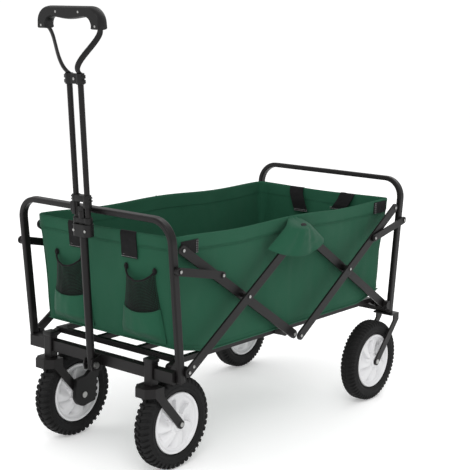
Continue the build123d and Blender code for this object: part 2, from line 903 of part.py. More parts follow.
with BuildPart() as slide_collar:
    with BuildSketch(along(collar_u0)) as body:
        SlotOverall(50.0, 25.0)
    lift(body, sleeve_u0 - collar_u0 - 0.6)
    with BuildSketch(along(collar_u0)) as bore:
        Circle(single_r + fit)
    lift(bore, sleeve_u0 - collar_u0, mode=Mode.SUBTRACT)
    with BuildSketch(along(collar_u0 + 3.0)) as sockets:
        with Locations((-twin_x, 0), (twin_x, 0)):
            Circle(twin_r)
    lift(sockets, sleeve_u0 - collar_u0, mode=Mode.SUBTRACT)
save(slide_collar, "slide_collar")

with BuildPart() as upper_clamp:
    with BuildSketch(along(clamp_u0 - 14.0)) as body:
        SlotOverall(50.0, 21.0)
    lift(body, 22.0)
    with BuildSketch(along(clamp_u0 - 14.0)) as sockets:
        with Locations((-twin_x, 0), (twin_x, 0)):
            Circle(twin_r)
    lift(sockets, 22.0, mode=Mode.SUBTRACT)
save(upper_clamp, "upper_clamp")

grip_plane = Plane(
    origin=handle_plane.origin,
    x_dir=(1, 0, 0),
    z_dir=-handle_plane.y_dir,
)
with BuildPart() as grip:
    with BuildSketch(grip_plane.offset(-grip_d / 2)) as outline:
        Polygon(
            (-grip_half + 2.0, grip_u0),
            (-grip_half, grip_u1 - 22.0),
            (-grip_half + 14.0, grip_u1 - 4.0),
            (-grip_half + 30.0, grip_u1),
            (grip_half - 30.0, grip_u1),
            (grip_half - 14.0, grip_u1 - 4.0),
            (grip_half, grip_u1 - 22.0),
            (grip_half - 2.0, grip_u0),
            (grip_half - 28.0, grip_u0),
            (grip_half - 38.0, grip_u1 - 24.0),
            (22.0, grip_u1 - 27.0),
            (-22.0, grip_u1 - 27.0),
            (-grip_half + 38.0, grip_u1 - 24.0),
            (-grip_half + 28.0, grip_u0),
            align=None,
        )
    extrude(outline.sketch, amount=grip_d)
    rims = grip.faces().filter_by(grip_plane).edges()
    chamfer(rims, 3.5)
    for side, _ in sides:
        with BuildLine(grip_plane) as path:
            Spline(
                (side * twin_x, clamp_u0 + 8.0),
                (side * 50.0, grip_u0 - 34.0),
                (side * 74.0, grip_u0 + 6.0),
                tangents=((0, 1), (side * 0.35, 1)),
            )
        with BuildSketch(along(clamp_u0 + 8.0)) as section:
            with Locations((side * twin_x, 0)):
                Circle(twin_r)
        sweep(section.sketch, path=path.wire(), mode=Mode.SUBTRACT)
save(grip, "grip")

# ---- soft goods ----
def tub_shell(inset, top_extra, corner):
    """Rounded shell through the tub's floor edge, toe and rim, drawn in by an inset."""
    levels = (
        (tub_x_foot, tub_y_foot, tub_z0 + inset),
        (tub_x_toe, tub_y_toe, tub_z_toe + inset),
        (tub_x_rim, tub_y_rim, tub_z1 + top_extra),
    )
    faces = []
    for half_x, half_y, level in levels:
        with BuildSketch(Plane.XY.offset(level)) as section:
            with Locations((0, mid_y)):
                RectangleRounded(2 * (half_x - inset), 2 * (half_y - inset), corner)
        faces.append(section.sketch.faces()[0])
    return faces


with BuildPart() as tub:
    loft(sections=tub_shell(0.0, 0.0, 10.0), ruled=True)
    loft(sections=tub_shell(tub_wall, 1.0, 8.0), ruled=True, mode=Mode.SUBTRACT)
save(tub, "tub")

# plane lying on the outside of the tub's front panel, local y up the panel from its toe
panel_lean = atan2(tub_y_rim - tub_y_toe, tub_z1 - tub_z_toe)
panel_len = hypot(tub_y_rim - tub_y_toe, tub_z1 - tub_z_toe)


def panel_plane(end, out=0.0):
    plane = Plane(
        origin=(0, mid_y + end * tub_y_toe, tub_z_toe),
        x_dir=(-end, 0, 0),
        z_dir=(0, end * cos(panel_lean), -sin(panel_lean)),
    )
    return plane.offset(out)


pocket_half = 61.0
pocket_x = 105.0
pocket_y0 = 8.0
pocket_y1 = 160.0
pocket_deep = 26.0
pocket_wall = 2.5
for side, side_name in sides:
    with BuildPart() as pocket:
        with BuildSketch(panel_plane(-1, 0.4)) as body:
            with Locations((side * pocket_x, (pocket_y0 + pocket_y1) / 2)):
                RectangleRounded(2 * pocket_half, pocket_y1 - pocket_y0, 8.0)
        extrude(body.sketch, amount=pocket_deep)
        with BuildSketch(panel_plane(-1, 0.0)) as room:
            with Locations((side * pocket_x, (pocket_y0 + pocket_y1) / 2 + 20.0)):
                Rectangle(
                    2 * (pocket_half - pocket_wall),
                    pocket_y1 - pocket_y0 + 40.0 - 2 * pocket_wall,
                )
        extrude(room.sketch, amount=pocket_deep + 0.4 - pocket_wall, mode=Mode.SUBTRACT)
    save(pocket, f"{side_name}_cup_pocket")

strap_half = 22.0
strap_x = 78.0
strap_t = 1.6
with BuildPart() as front_straps:
    for side, _ in sides:
        with BuildSketch(panel_plane(-1, 0.4)) as leg:
            with Locations((side * strap_x, panel_len - 24.0)):
                Rectangle(2 * strap_half, 52.0)
        extrude(leg.sketch, amount=strap_t)
        block(
            side * strap_x - strap_half,
            side * strap_x + strap_half,
            mid_y - tub_y_rim - 2.4,
            mid_y - tub_y_rim + 5.0,
            tub_z1 + 0.4,
            tub_z1 + 0.4 + strap_t,
        )
save(front_straps, "front_straps")

with BuildPart() as rear_straps:
    for side, _ in sides:
        with BuildSketch(panel_plane(1, -tub_wall - 0.8)) as leg:
            with Locations((side * strap_x, panel_len - 34.0)):
                Rectangle(2 * strap_half, 72.0)
        extrude(leg.sketch, amount=-strap_t)
        block(
            side * strap_x - strap_half,
            side * strap_x + strap_half,
            mid_y + tub_y_rim - 7.0,
            mid_y + tub_y_rim + 3.0,
            tub_z1 + 0.4,
            tub_z1 + 0.4 + strap_t,
        )
save(rear_straps, "rear_straps")

with BuildPart() as corner_tabs:
    for side, _ in sides:
        for end, _ in ends:
            x = side * (tub_x_rim + 0.4)
            block(
                x,
                x + side * 1.6,
                out_y(end, -18.0),
                out_y(end, -60.0),
                468.0,
                496.0,
            )
save(corner_tabs, "corner_tabs")

# flaps over the top middle pivots: an inverted L across the bar ends, cut to a kite
flap_x = 241.0
flap_t = 3.0
for side, side_name in sides:
    with BuildPart() as flap:
        with BuildSketch(Plane.XZ.offset(-(mid_y + 100.0))) as section:
            Polygon(
                (side * (tub_x_rim - 4.0), tub_z1 + 0.6),
                (side * (flap_x - 2.0), tub_z1 - 3.0),
                (side * flap_x, tub_z1 - 82.0),
                (side * (flap_x + flap_t), tub_z1 - 82.0),
                (side * (flap_x + flap_t - 1.0), tub_z1 + 1.0),
                (side * (flap_x - 6.0), tub_z1 + 3.0),
                (side * (tub_x_rim - 4.0), tub_z1 + 3.6),
                align=None,
            )
        extrude(section.sketch, amount=240.0)
        with BuildSketch(Plane.YZ.offset(-300.0)) as kite:
            Polygon(
                (mid_y - 20.0, tub_z1 + 8.0),
                (mid_y - 104.0, tub_z1 - 52.0),
                (mid_y - 98.0, tub_z1 - 60.0),
                (mid_y - 30.0, tub_z1 - 81.0),
                (mid_y + 34.0, tub_z1 - 80.0),
                (mid_y + 88.0, tub_z1 - 58.0),
                (mid_y + 92.0, tub_z1 - 50.0),
                (mid_y + 20.0, tub_z1 + 8.0),
                align=None,
            )
        extrude(kite.sketch, amount=600.0, mode=Mode.INTERSECT)
    save(flap, f"{side_name}_side_flap")
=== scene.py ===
"""Looks of the folding camp wagon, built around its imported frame."""

import json
import logging
import math
from dataclasses import dataclass
from enum import Enum
from typing import Callable, Iterable, List, Optional, Sequence, Tuple

import bmesh
import bpy
from mathutils import Matrix, Vector, noise


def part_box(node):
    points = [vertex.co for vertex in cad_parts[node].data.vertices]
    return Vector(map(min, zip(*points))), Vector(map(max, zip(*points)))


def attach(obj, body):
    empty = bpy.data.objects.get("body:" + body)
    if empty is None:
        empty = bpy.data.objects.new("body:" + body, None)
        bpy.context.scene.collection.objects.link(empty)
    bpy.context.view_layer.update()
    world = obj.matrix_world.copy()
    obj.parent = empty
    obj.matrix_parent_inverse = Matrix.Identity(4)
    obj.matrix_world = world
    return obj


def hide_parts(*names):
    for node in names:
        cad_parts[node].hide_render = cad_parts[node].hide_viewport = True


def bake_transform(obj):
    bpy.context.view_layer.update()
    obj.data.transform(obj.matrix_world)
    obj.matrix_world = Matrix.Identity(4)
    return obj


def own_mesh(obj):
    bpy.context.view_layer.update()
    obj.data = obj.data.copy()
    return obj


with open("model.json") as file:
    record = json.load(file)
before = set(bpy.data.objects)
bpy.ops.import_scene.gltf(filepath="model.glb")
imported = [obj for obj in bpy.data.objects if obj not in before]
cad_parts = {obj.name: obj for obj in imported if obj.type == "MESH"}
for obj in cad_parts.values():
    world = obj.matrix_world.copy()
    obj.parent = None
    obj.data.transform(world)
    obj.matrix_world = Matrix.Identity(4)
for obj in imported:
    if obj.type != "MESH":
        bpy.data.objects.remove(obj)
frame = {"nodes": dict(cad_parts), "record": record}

LOG = logging.getLogger("camp_wagon")
Point = Tuple[float, float, float]
Colour = Tuple[float, float, float]
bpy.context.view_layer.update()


class Body(str, Enum):
    """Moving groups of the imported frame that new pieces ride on."""

    FRONT = "front_frame"
    REAR = "rear_frame"
    FLOOR_FRONT = "floor_front"
    FLOOR_REAR = "floor_rear"
    FRONT_OUTER = "front_outer_bars"


class Slot(str, Enum):
    """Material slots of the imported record."""

    PAINT = "frame_paint"
    CLOTH = "fabric"
    WEB = "webbing"
    BOARD = "board"
    TYRE = "tyre"
    RIM = "rim"
    STEEL = "fastener"
    PLASTIC = "black_plastic"


class Side(Enum):
    """The wagon's two sides, by the sign of X."""

    LEFT = 1
    RIGHT = -1

    @property
    def word(self) -> str:
        """Name of the side as the frame's nodes spell it."""
        return self.name.lower()


class End(Enum):
    """The wagon's two ends, by the sign of Y."""

    FRONT = -1
    REAR = 1

    @property
    def word(self) -> str:
        """Name of the end as the frame's nodes spell it."""
        return self.name.lower()


# ---------------------------------------------------------------- finishes


class Groups:
    """Shader node groups that several finishes share."""

    @staticmethod
    def _new(name: str, inputs: Sequence[Tuple[str, str, float]],
             outputs: Sequence[Tuple[str, str]]) -> bpy.types.NodeTree:
        """Makes an empty group.

        Args:
            name: The group's name.
            inputs: Name, socket type and default of each input.
            outputs: Name and socket type of each output.

        Returns:
            The new node tree.
        """
        tree = bpy.data.node_groups.new(name, "ShaderNodeTree")
        for label, kind, default in inputs:
            socket = tree.interface.new_socket(label, in_out="INPUT", socket_type=kind)
            if kind == "NodeSocketFloat":
                socket.default_value = default
        for label, kind in outputs:
            tree.interface.new_socket(label, in_out="OUTPUT", socket_type=kind)
        return tree

    @staticmethod
    def calc(tree: bpy.types.NodeTree, operation: str, a: object, b: object = None,
              clamp: bool = False) -> bpy.types.NodeSocket:
        """Adds a Math node.

        Args:
            tree: Tree to add it to.
            operation: The node's operation.
            a: First socket or number.
            b: Second socket or number.
            clamp: Whether the result is held to 0..1.

        Returns:
            The node's output.
        """
        node = tree.nodes.new("ShaderNodeMath")
        node.operation = operation
        node.use_clamp = clamp
        for index, value in enumerate((a, b)):
            if isinstance(value, bpy.types.NodeSocket):
                tree.links.new(value, node.inputs[index])
            elif value is not None:
                node.inputs[index].default_value = value
        return node.outputs[0]

    @classmethod
    def grain(cls) -> bpy.types.NodeTree:
        """Fine and coarse unevenness.

        Returns:
            A group giving Height for a bump and Blotch for colour and roughness.
        """
        name = "surface grain"
        if name in bpy.data.node_groups:
            return bpy.data.node_groups[name]
        tree = cls._new(
            name,
            (("Vector", "NodeSocketVector", 0), ("Fine", "NodeSocketFloat", 900.0),
             ("Coarse", "NodeSocketFloat", 14.0)),
            (("Height", "NodeSocketFloat"), ("Blotch", "NodeSocketFloat")),
        )
        put, take = tree.nodes.new("NodeGroupInput"), tree.nodes.new("NodeGroupOutput")
        for scale, detail, out in (("Fine", 2.0, "Height"), ("Coarse", 4.0, "Blotch")):
            node = tree.nodes.new("ShaderNodeTexNoise")
            node.inputs["Detail"].default_value = detail
            tree.links.new(put.outputs["Vector"], node.inputs["Vector"])
            tree.links.new(put.outputs[scale], node.inputs["Scale"])
            tree.links.new(node.outputs["Fac"], take.inputs[out])
        return tree

    @classmethod
    def dust(cls) -> bpy.types.NodeTree:
        """Light dust where a surface looks up.

        Returns:
            A group giving a Mask.
        """
        name = "settled dust"
        if name in bpy.data.node_groups:
            return bpy.data.node_groups[name]
        tree = cls._new(
            name, (("Vector", "NodeSocketVector", 0), ("Amount", "NodeSocketFloat", 0.1)),
            (("Mask", "NodeSocketFloat"),))
        put, take = tree.nodes.new("NodeGroupInput"), tree.nodes.new("NodeGroupOutput")
        geo = tree.nodes.new("ShaderNodeNewGeometry")
        split = tree.nodes.new("ShaderNodeSeparateXYZ")
        tree.links.new(geo.outputs["Normal"], split.inputs[0])
        cloud = tree.nodes.new("ShaderNodeTexNoise")
        cloud.inputs["Scale"].default_value = 35.0
        cloud.inputs["Detail"].default_value = 5.0
        tree.links.new(put.outputs["Vector"], cloud.inputs["Vector"])
        up = cls.calc(tree, "MAXIMUM", split.outputs["Z"], 0.0)
        spread = cls.calc(tree, "MULTIPLY", up, cloud.outputs["Fac"])
        mask = cls.calc(tree, "MULTIPLY", spread, put.outputs["Amount"], clamp=True)
        tree.links.new(mask, take.inputs["Mask"])
        return tree

    @classmethod
    def edge_wear(cls) -> bpy.types.NodeTree:
        """Rounded edges and the rubbed line along them.

        Returns:
            A group giving the rounded Normal and a Mask that is 1 on worn edges.
        """
        name = "edge wear"
        if name in bpy.data.node_groups:
            return bpy.data.node_groups[name]
        tree = cls._new(
            name, (("Vector", "NodeSocketVector", 0), ("Radius", "NodeSocketFloat", 0.001)),
            (("Normal", "NodeSocketVector"), ("Mask", "NodeSocketFloat")))
        put, take = tree.nodes.new("NodeGroupInput"), tree.nodes.new("NodeGroupOutput")
        soft, geo = tree.nodes.new("ShaderNodeBevel"), tree.nodes.new("ShaderNodeNewGeometry")
        soft.samples = 4
        tree.links.new(put.outputs["Radius"], soft.inputs["Radius"])
        dot = tree.nodes.new("ShaderNodeVectorMath")
        dot.operation = "DOT_PRODUCT"
        tree.links.new(soft.outputs["Normal"], dot.inputs[0])
        tree.links.new(geo.outputs["True Normal"], dot.inputs[1])
        scratch = tree.nodes.new("ShaderNodeTexNoise")
        scratch.inputs["Scale"].default_value = 160.0
        tree.links.new(put.outputs["Vector"], scratch.inputs["Vector"])
        turned = cls.calc(tree, "SUBTRACT", 1.0, dot.outputs["Value"])
        worn = cls.calc(tree, "MULTIPLY", turned, 5.0, clamp=True)
        mask = cls.calc(tree, "MULTIPLY", worn, scratch.outputs["Fac"], clamp=True)
        tree.links.new(soft.outputs["Normal"], take.inputs["Normal"])
        tree.links.new(mask, take.inputs["Mask"])
        return tree

    @classmethod
    def weave(cls) -> bpy.types.NodeTree:
        """Plain weave that follows a piece's UV map, laid out in metres.

        Returns:
            A group giving Height, and Gap, which is 1 in the holes between threads.
        """
        name = "plain weave"
        if name in bpy.data.node_groups:
            return bpy.data.node_groups[name]
        tree = cls._new(
            name,
            (("Vector", "NodeSocketVector", 0), ("Warp", "NodeSocketFloat", 1200.0),
             ("Weft", "NodeSocketFloat", 1200.0), ("Hole", "NodeSocketFloat", 0.5)),
            (("Height", "NodeSocketFloat"), ("Gap", "NodeSocketFloat")),
        )
        put, take = tree.nodes.new("NodeGroupInput"), tree.nodes.new("NodeGroupOutput")
        split = tree.nodes.new("ShaderNodeSeparateXYZ")
        tree.links.new(put.outputs["Vector"], split.inputs[0])
        waves = []
        for axis, count in (("X", "Warp"), ("Y", "Weft")):
            turn = cls.calc(tree, "MULTIPLY", split.outputs[axis], put.outputs[count])
            turn = cls.calc(tree, "MULTIPLY", turn, math.pi)
            waves.append(cls.calc(tree, "SINE", turn))
        over = cls.calc(tree, "MULTIPLY", waves[0], waves[1])
        height = cls.calc(tree, "MULTIPLY_ADD", over, 0.5)
        height.node.inputs[2].default_value = 0.5
        squares = [cls.calc(tree, "MULTIPLY", w, w) for w in waves]
        both = cls.calc(tree, "MULTIPLY", squares[0], squares[1])
        gap = cls.calc(tree, "GREATER_THAN", both, put.outputs["Hole"])
        tree.links.new(height, take.inputs["Height"])
        tree.links.new(gap, take.inputs["Gap"])
        return tree


DUST: Colour = (0.42, 0.4, 0.37)


@dataclass(frozen=True)
class Finish:
    """A hard surface: paint, metal, plastic or rubber."""

    name: str
    slot: Slot
    colour: Colour
    roughness: float
    metallic: float = 0.0
    specular: float = 0.5
    fine: float = 900.0
    coarse: float = 14.0
    bump: float = 0.05
    mottle: float = 0.12
    dust: float = 0.1
    worn: Optional[Colour] = None
    edge: float = 0.0

    def _mix(self, tree: bpy.types.NodeTree, factor: bpy.types.NodeSocket, a: object,
             b: Colour) -> bpy.types.NodeSocket:
        """Mixes a colour over another.

        Args:
            tree: The material's tree.
            factor: How much of b shows.
            a: Colour or socket underneath.
            b: Colour on top.

        Returns:
            The mixed colour.
        """
        node = tree.nodes.new("ShaderNodeMix")
        node.data_type = "RGBA"
        tree.links.new(factor, node.inputs["Factor"])
        if isinstance(a, bpy.types.NodeSocket):
            tree.links.new(a, node.inputs["A"])
        else:
            node.inputs[6].default_value = (*a, 1.0)
        node.inputs[7].default_value = (*b, 1.0)
        return node.outputs[2]

    def _group(self, tree: bpy.types.NodeTree, group: bpy.types.NodeTree,
               vector: bpy.types.NodeSocket, **values: float) -> bpy.types.Node:
        """Places a shared group with its own values.

        Args:
            tree: The material's tree.
            group: The group to place.
            vector: Coordinates it reads.
            **values: Its number inputs by name.

        Returns:
            The group node.
        """
        node = tree.nodes.new("ShaderNodeGroup")
        node.node_tree = group
        tree.links.new(vector, node.inputs["Vector"])
        for key, value in values.items():
            node.inputs[key].default_value = value
        return node

    def _start(self) -> Tuple[bpy.types.Material, bpy.types.NodeTree, bpy.types.Node]:
        """Makes the material with its constants set on the shader.

        Returns:
            The material, its tree and its Principled node.
        """
        material = bpy.data.materials.new(self.name)
        material.use_nodes = True
        tree = material.node_tree
        shader = tree.nodes["Principled BSDF"]
        shader.inputs["Metallic"].default_value = self.metallic
        shader.inputs["Specular IOR Level"].default_value = self.specular
        return material, tree, shader

    @staticmethod
    def _bump(tree: bpy.types.NodeTree, height: bpy.types.NodeSocket, strength: float,
              distance: float) -> bpy.types.Node:
        """Adds a bump node.

        Args:
            tree: The material's tree.
            height: Socket that gives its height.
            strength: Its strength.
            distance: Its depth in metres.

        Returns:
            The node.
        """
        bump = tree.nodes.new("ShaderNodeBump")
        bump.inputs["Strength"].default_value = strength
        bump.inputs["Distance"].default_value = distance
        tree.links.new(height, bump.inputs["Height"])
        return bump

    def _ground(self, tree: bpy.types.NodeTree, grain: bpy.types.Node) -> bpy.types.NodeSocket:
        """The finish's own colour, mottled by the grain."""
        dark = tuple(c * (1.0 - self.mottle) for c in self.colour)
        return self._mix(tree, grain.outputs["Blotch"], self.colour, dark)

    def _close(self, tree: bpy.types.NodeTree, shader: bpy.types.Node, grain: bpy.types.Node,
               colour: bpy.types.NodeSocket, bump: bpy.types.Node) -> None:
        """Links colour, uneven roughness and bump to the shader.

        Args:
            tree: The material's tree.
            shader: Its Principled node.
            grain: The placed grain group.
            colour: The finished colour.
            bump: The bump node.
        """
        rough = Groups.calc(tree, "MULTIPLY_ADD", grain.outputs["Blotch"], self.mottle)
        rough.node.inputs[2].default_value = self.roughness - self.mottle / 2
        tree.links.new(colour, shader.inputs["Base Color"])
        tree.links.new(rough, shader.inputs["Roughness"])
        tree.links.new(bump.outputs["Normal"], shader.inputs["Normal"])

    def material(self) -> bpy.types.Material:
        """The finish's material, made once."""
        if self.name in bpy.data.materials:
            return bpy.data.materials[self.name]
        material, tree, shader = self._start()
        place = tree.nodes.new("ShaderNodeTexCoord").outputs["Object"]
        grain = self._group(tree, Groups.grain(), place, Fine=self.fine, Coarse=self.coarse)
        dust = self._group(tree, Groups.dust(), place, Amount=self.dust)
        colour = self._ground(tree, grain)
        bump = self._bump(tree, grain.outputs["Height"], self.bump, 0.0004)
        if self.edge > 0:
            wear = self._group(tree, Groups.edge_wear(), place, Radius=self.edge)
            tree.links.new(wear.outputs["Normal"], bump.inputs["Normal"])
            if self.worn:
                colour = self._mix(tree, wear.outputs["Mask"], colour, self.worn)
        colour = self._mix(tree, dust.outputs["Mask"], colour, DUST)
        self._close(tree, shader, grain, colour, bump)
        return material


@dataclass(frozen=True)
class ClothFinish(Finish):
    """A woven surface that follows the piece's own UV map, in metres."""

    warp: float = 1100.0
    weft: float = 1100.0
    sheen: float = 0.25
    depth: float = 0.35
    hole: float = 0.0
    fade: Colour = (0.1, 0.2, 0.15)

    def material(self) -> bpy.types.Material:
        """The cloth's material, made once."""
        if self.name in bpy.data.materials:
            return bpy.data.materials[self.name]
        material, tree, shader = self._start()
        shader.inputs["Sheen Weight"].default_value = self.sheen
        shader.inputs["Sheen Roughness"].default_value = 0.45
        cloth_uv = tree.nodes.new("ShaderNodeUVMap").outputs["UV"]
        place = tree.nodes.new("ShaderNodeTexCoord").outputs["Object"]
        weave = self._group(tree, Groups.weave(), cloth_uv, Warp=self.warp, Weft=self.weft,
                            Hole=max(self.hole, 0.01))
        grain = self._group(tree, Groups.grain(), place, Fine=500.0, Coarse=self.coarse)
        colour = self._ground(tree, grain)
        thread = Groups.calc(tree, "MULTIPLY", weave.outputs["Height"], 0.16)
        colour = self._mix(tree, thread, colour, self.fade)
        bump = self._bump(tree, weave.outputs["Height"], self.depth, 0.0003)
        self._close(tree, shader, grain, colour, bump)
        if self.hole > 0:
            solid = Groups.calc(tree, "SUBTRACT", 1.0, weave.outputs["Gap"])
            tree.links.new(solid, shader.inputs["Alpha"])
        return material


PAINT = Finish("satin powder coat", Slot.PAINT, (0.0062, 0.0054, 0.0056), 0.40, dust=0.012,
               specular=0.22, bump=0.12, worn=(0.035, 0.033, 0.033), edge=0.0012, mottle=0.14)
STEEL = Finish("zinc plated steel", Slot.STEEL, (0.40, 0.40, 0.39), 0.34, metallic=1.0, dust=0.02,
               bump=0.1)
PLASTIC = Finish("moulded black plastic", Slot.PLASTIC, (0.0055, 0.0053, 0.0055), 0.46, dust=0.012,
                 specular=0.25, bump=0.2, edge=0.0008)
RUBBER = Finish("tyre rubber", Slot.TYRE, (0.0065, 0.0065, 0.0068), 0.66, dust=0.025, bump=0.35,
                mottle=0.3, specular=0.20)
RIM_WHITE = Finish("white moulded rim", Slot.RIM, (0.72, 0.72, 0.73), 0.36, dust=0.03, bump=0.03,
                   mottle=0.05)
GREEN = ClothFinish("green oxford cloth", Slot.CLOTH, (0.0135, 0.082, 0.044), 0.78, mottle=0.20,
                    coarse=6.0, fade=(0.022, 0.115, 0.066), sheen=0.06, specular=0.16)
BLACK_WEB = ClothFinish("black webbing", Slot.WEB, (0.0055, 0.0055, 0.006), 0.78, warp=420.0,
                        weft=900.0, fade=(0.018, 0.018, 0.018), depth=0.6, sheen=0.05,
                        specular=0.16)
NET = ClothFinish("black net", Slot.WEB, (0.005, 0.0055, 0.0055), 0.75, warp=330.0, weft=330.0,
                  hole=0.30, fade=(0.015, 0.016, 0.015), sheen=0.03, specular=0.16)
THREAD = Finish("green sewing thread", Slot.CLOTH, (0.016, 0.088, 0.048), 0.65, specular=0.2,
                dust=0.0)
PALE_THREAD = Finish("grey sewing thread", Slot.WEB, (0.26, 0.26, 0.26), 0.65, specular=0.2,
                     dust=0.0)
BOARD = ClothFinish("board cover cloth", Slot.BOARD, (0.010, 0.060, 0.032), 0.82, sheen=0.05,
                    specular=0.16, fade=(0.02, 0.095, 0.055))


# ---------------------------------------------------------------- modelling


class Bench:
    """Modelling operators, each leaving one clean object at the origin."""

    @staticmethod
    def clear() -> None:
        """Leaves nothing selected."""
        if bpy.context.mode != "OBJECT":
            bpy.ops.object.mode_set(mode="OBJECT")
        bpy.ops.object.select_all(action="DESELECT")

    @classmethod
    def only(cls, piece: bpy.types.Object) -> None:
        """Selects one object and makes it active."""
        cls.clear()
        piece.select_set(True)
        bpy.context.view_layer.objects.active = piece

    @staticmethod
    def outward() -> None:
        """Turns the selected faces outward."""
        bpy.ops.mesh.normals_make_consistent(inside=False)

    @staticmethod
    def edit(*steps: Callable[[], object]) -> None:
        """Runs mesh operators in order, each on the whole active mesh."""
        bpy.ops.object.mode_set(mode="EDIT")
        for step in steps:
            bpy.ops.mesh.select_all(action="SELECT")
            step()
        bpy.ops.object.mode_set(mode="OBJECT")

    @classmethod
    def settle(cls, piece: bpy.types.Object, name: str) -> bpy.types.Object:
        """Names a new primitive and applies its place.

        Args:
            piece: The object.
            name: Its name.

        Returns:
            The same object, at the origin.
        """
        piece.name = piece.data.name = name
        cls.only(piece)
        bpy.ops.object.transform_apply(location=True, rotation=True, scale=True)
        return piece

    @classmethod
    def apply(cls, piece: bpy.types.Object, kind: str, **values: object) -> bpy.types.Object:
        """Adds a modifier and applies it.

        Args:
            piece: The object.
            kind: The modifier's type.
            **values: Its settings.

        Returns:
            The same object.
        """
        cls.only(piece)
        modifier = piece.modifiers.new("step", kind)
        for key, value in values.items():
            setattr(modifier, key, value)
        bpy.ops.object.modifier_apply(modifier=modifier.name)
        return piece

    @classmethod
    def round_edges(cls, piece: bpy.types.Object, width: float, segments: int = 3,
                    angle: float = 35.0) -> bpy.types.Object:
        """Bevels every sharp edge.

        Args:
            piece: The object.
            width: Bevel width in metres.
            segments: Number of segments.
            angle: Edges sharper than this, in degrees, are rounded.

        Returns:
            The same object.
        """
        return cls.apply(piece, "BEVEL", width=width, segments=segments, limit_method="ANGLE",
                         angle_limit=math.radians(angle), use_clamp_overlap=True)

    @classmethod
    def block(cls, name: str, low: Sequence[float], high: Sequence[float],
              bevel: float = 0.0, segments: int = 3) -> bpy.types.Object:
        """A block between two corners.

        Args:
            name: Its name.
            low: Lowest corner.
            high: Highest corner.
            bevel: Edge rounding.
            segments: Segments in the rounding.

        Returns:
            The object.
        """
        cls.clear()
        a, b = Vector(low), Vector(high)
        bpy.ops.mesh.primitive_cube_add(size=1.0, location=(a + b) / 2, scale=b - a)
        piece = cls.settle(bpy.context.object, name)
        return cls.round_edges(piece, bevel, segments) if bevel else piece

    @classmethod
    def rod(cls, name: str, start: Sequence[float], end: Sequence[float], radius: float,
            sides: int = 32, bevel: float = 0.0, segments: int = 3) -> bpy.types.Object:
        """A round rod between two points.

        Args:
            name: Its name.
            start: One end of its centreline.
            end: The other end.
            radius: Its radius.
            sides: Faces around it.
            bevel: Rounding of its end edges.
            segments: Segments in the rounding.

        Returns:
            The object.
        """
        cls.clear()
        a, b = Vector(start), Vector(end)
        turn = Vector((0, 0, 1)).rotation_difference(b - a).to_euler()
        bpy.ops.mesh.primitive_cylinder_add(vertices=sides, radius=radius, depth=(b - a).length,
                                            location=(a + b) / 2, rotation=turn)
        piece = cls.settle(bpy.context.object, name)
        return cls.round_edges(piece, bevel, segments, 50.0) if bevel else piece

    @classmethod
    def plate(cls, name: str, outline: Sequence[Sequence[float]], along: Sequence[float],
              bevel: float = 0.0, segments: int = 3) -> bpy.types.Object:
        """A flat plate of any outline, made from a round face moved to the outline.

        Args:
            name: Its name.
            outline: Its corners in order.
            along: Direction and distance of its thickness.
            bevel: Edge rounding.
            segments: Segments in the rounding.

        Returns:
            The object.
        """
        cls.clear()
        bpy.ops.mesh.primitive_circle_add(vertices=len(outline), fill_type="NGON")
        piece = cls.settle(bpy.context.object, name)
        for vertex, corner in zip(piece.data.vertices, outline):
            vertex.co = corner
        cls.edit(lambda: bpy.ops.mesh.extrude_region_move(
            TRANSFORM_OT_translate={"value": Vector(along)}), cls.outward)
        return cls.round_edges(piece, bevel, segments) if bevel else piece

    @classmethod
    def ring(cls, name: str, section: Sequence[Tuple[float, float]], centre: Sequence[float],
             steps: int = 96) -> bpy.types.Object:
        """A ring about an X axis, spun from a closed section.

        Args:
            name: Its name.
            section: Points of the section as (X offset, radius).
            centre: Middle of the ring.
            steps: Steps of the spin.

        Returns:
            The object.
        """
        middle = Vector(centre)
        points = [middle + Vector((across, 0, radius)) for across, radius in section]
        return cls.lathe(name, points, middle, (1, 0, 0), steps)

    @classmethod
    def lathe(cls, name: str, section: Sequence[Sequence[float]], centre: Sequence[float],
              axis: Sequence[float], steps: int) -> bpy.types.Object:
        """A body of revolution, spun from a closed section.

        Args:
            name: Its name.
            section: Points of the section.
            centre: A point on its axis.
            axis: Direction of its axis.
            steps: Steps of the spin.

        Returns:
            The object.
        """
        cls.clear()
        bpy.ops.mesh.primitive_circle_add(vertices=len(section), fill_type="NOTHING")
        piece = cls.settle(bpy.context.object, name)
        for vertex, place in zip(piece.data.vertices, section):
            vertex.co = place
        cls.edit(lambda: bpy.ops.mesh.spin(steps=steps, angle=math.tau, center=centre, axis=axis),
                 lambda: bpy.ops.mesh.remove_doubles(threshold=1e-6),
                 lambda: bpy.ops.mesh.dissolve_degenerate(threshold=1e-7), cls.outward)
        return piece

    @classmethod
    def pipe(cls, name: str, path: Sequence[Sequence[float]], radius: float,
             closed: bool = False) -> bpy.types.Object:
        """A round pipe along a smooth path.

        Args:
            name: Its name.
            path: Control points of the path.
            radius: Its radius.
            closed: Whether it runs back to its start.

        Returns:
            The object, as a mesh.
        """
        cls.clear()
        bpy.ops.curve.primitive_nurbs_path_add()
        piece = bpy.context.object
        curve = piece.data
        curve.splines.clear()
        spline = curve.splines.new("NURBS")
        spline.points.add(len(path) - 1)
        for point, place in zip(spline.points, path):
            point.co = (*place, 1.0)
        spline.order_u = 3
        spline.use_cyclic_u = closed
        spline.use_endpoint_u = not closed
        spline.resolution_u = 6
        curve.bevel_depth = radius
        curve.bevel_resolution = 4
        curve.use_fill_caps = True
        cls.only(piece)
        bpy.ops.object.convert(target="MESH")
        return cls.settle(bpy.context.object, name)

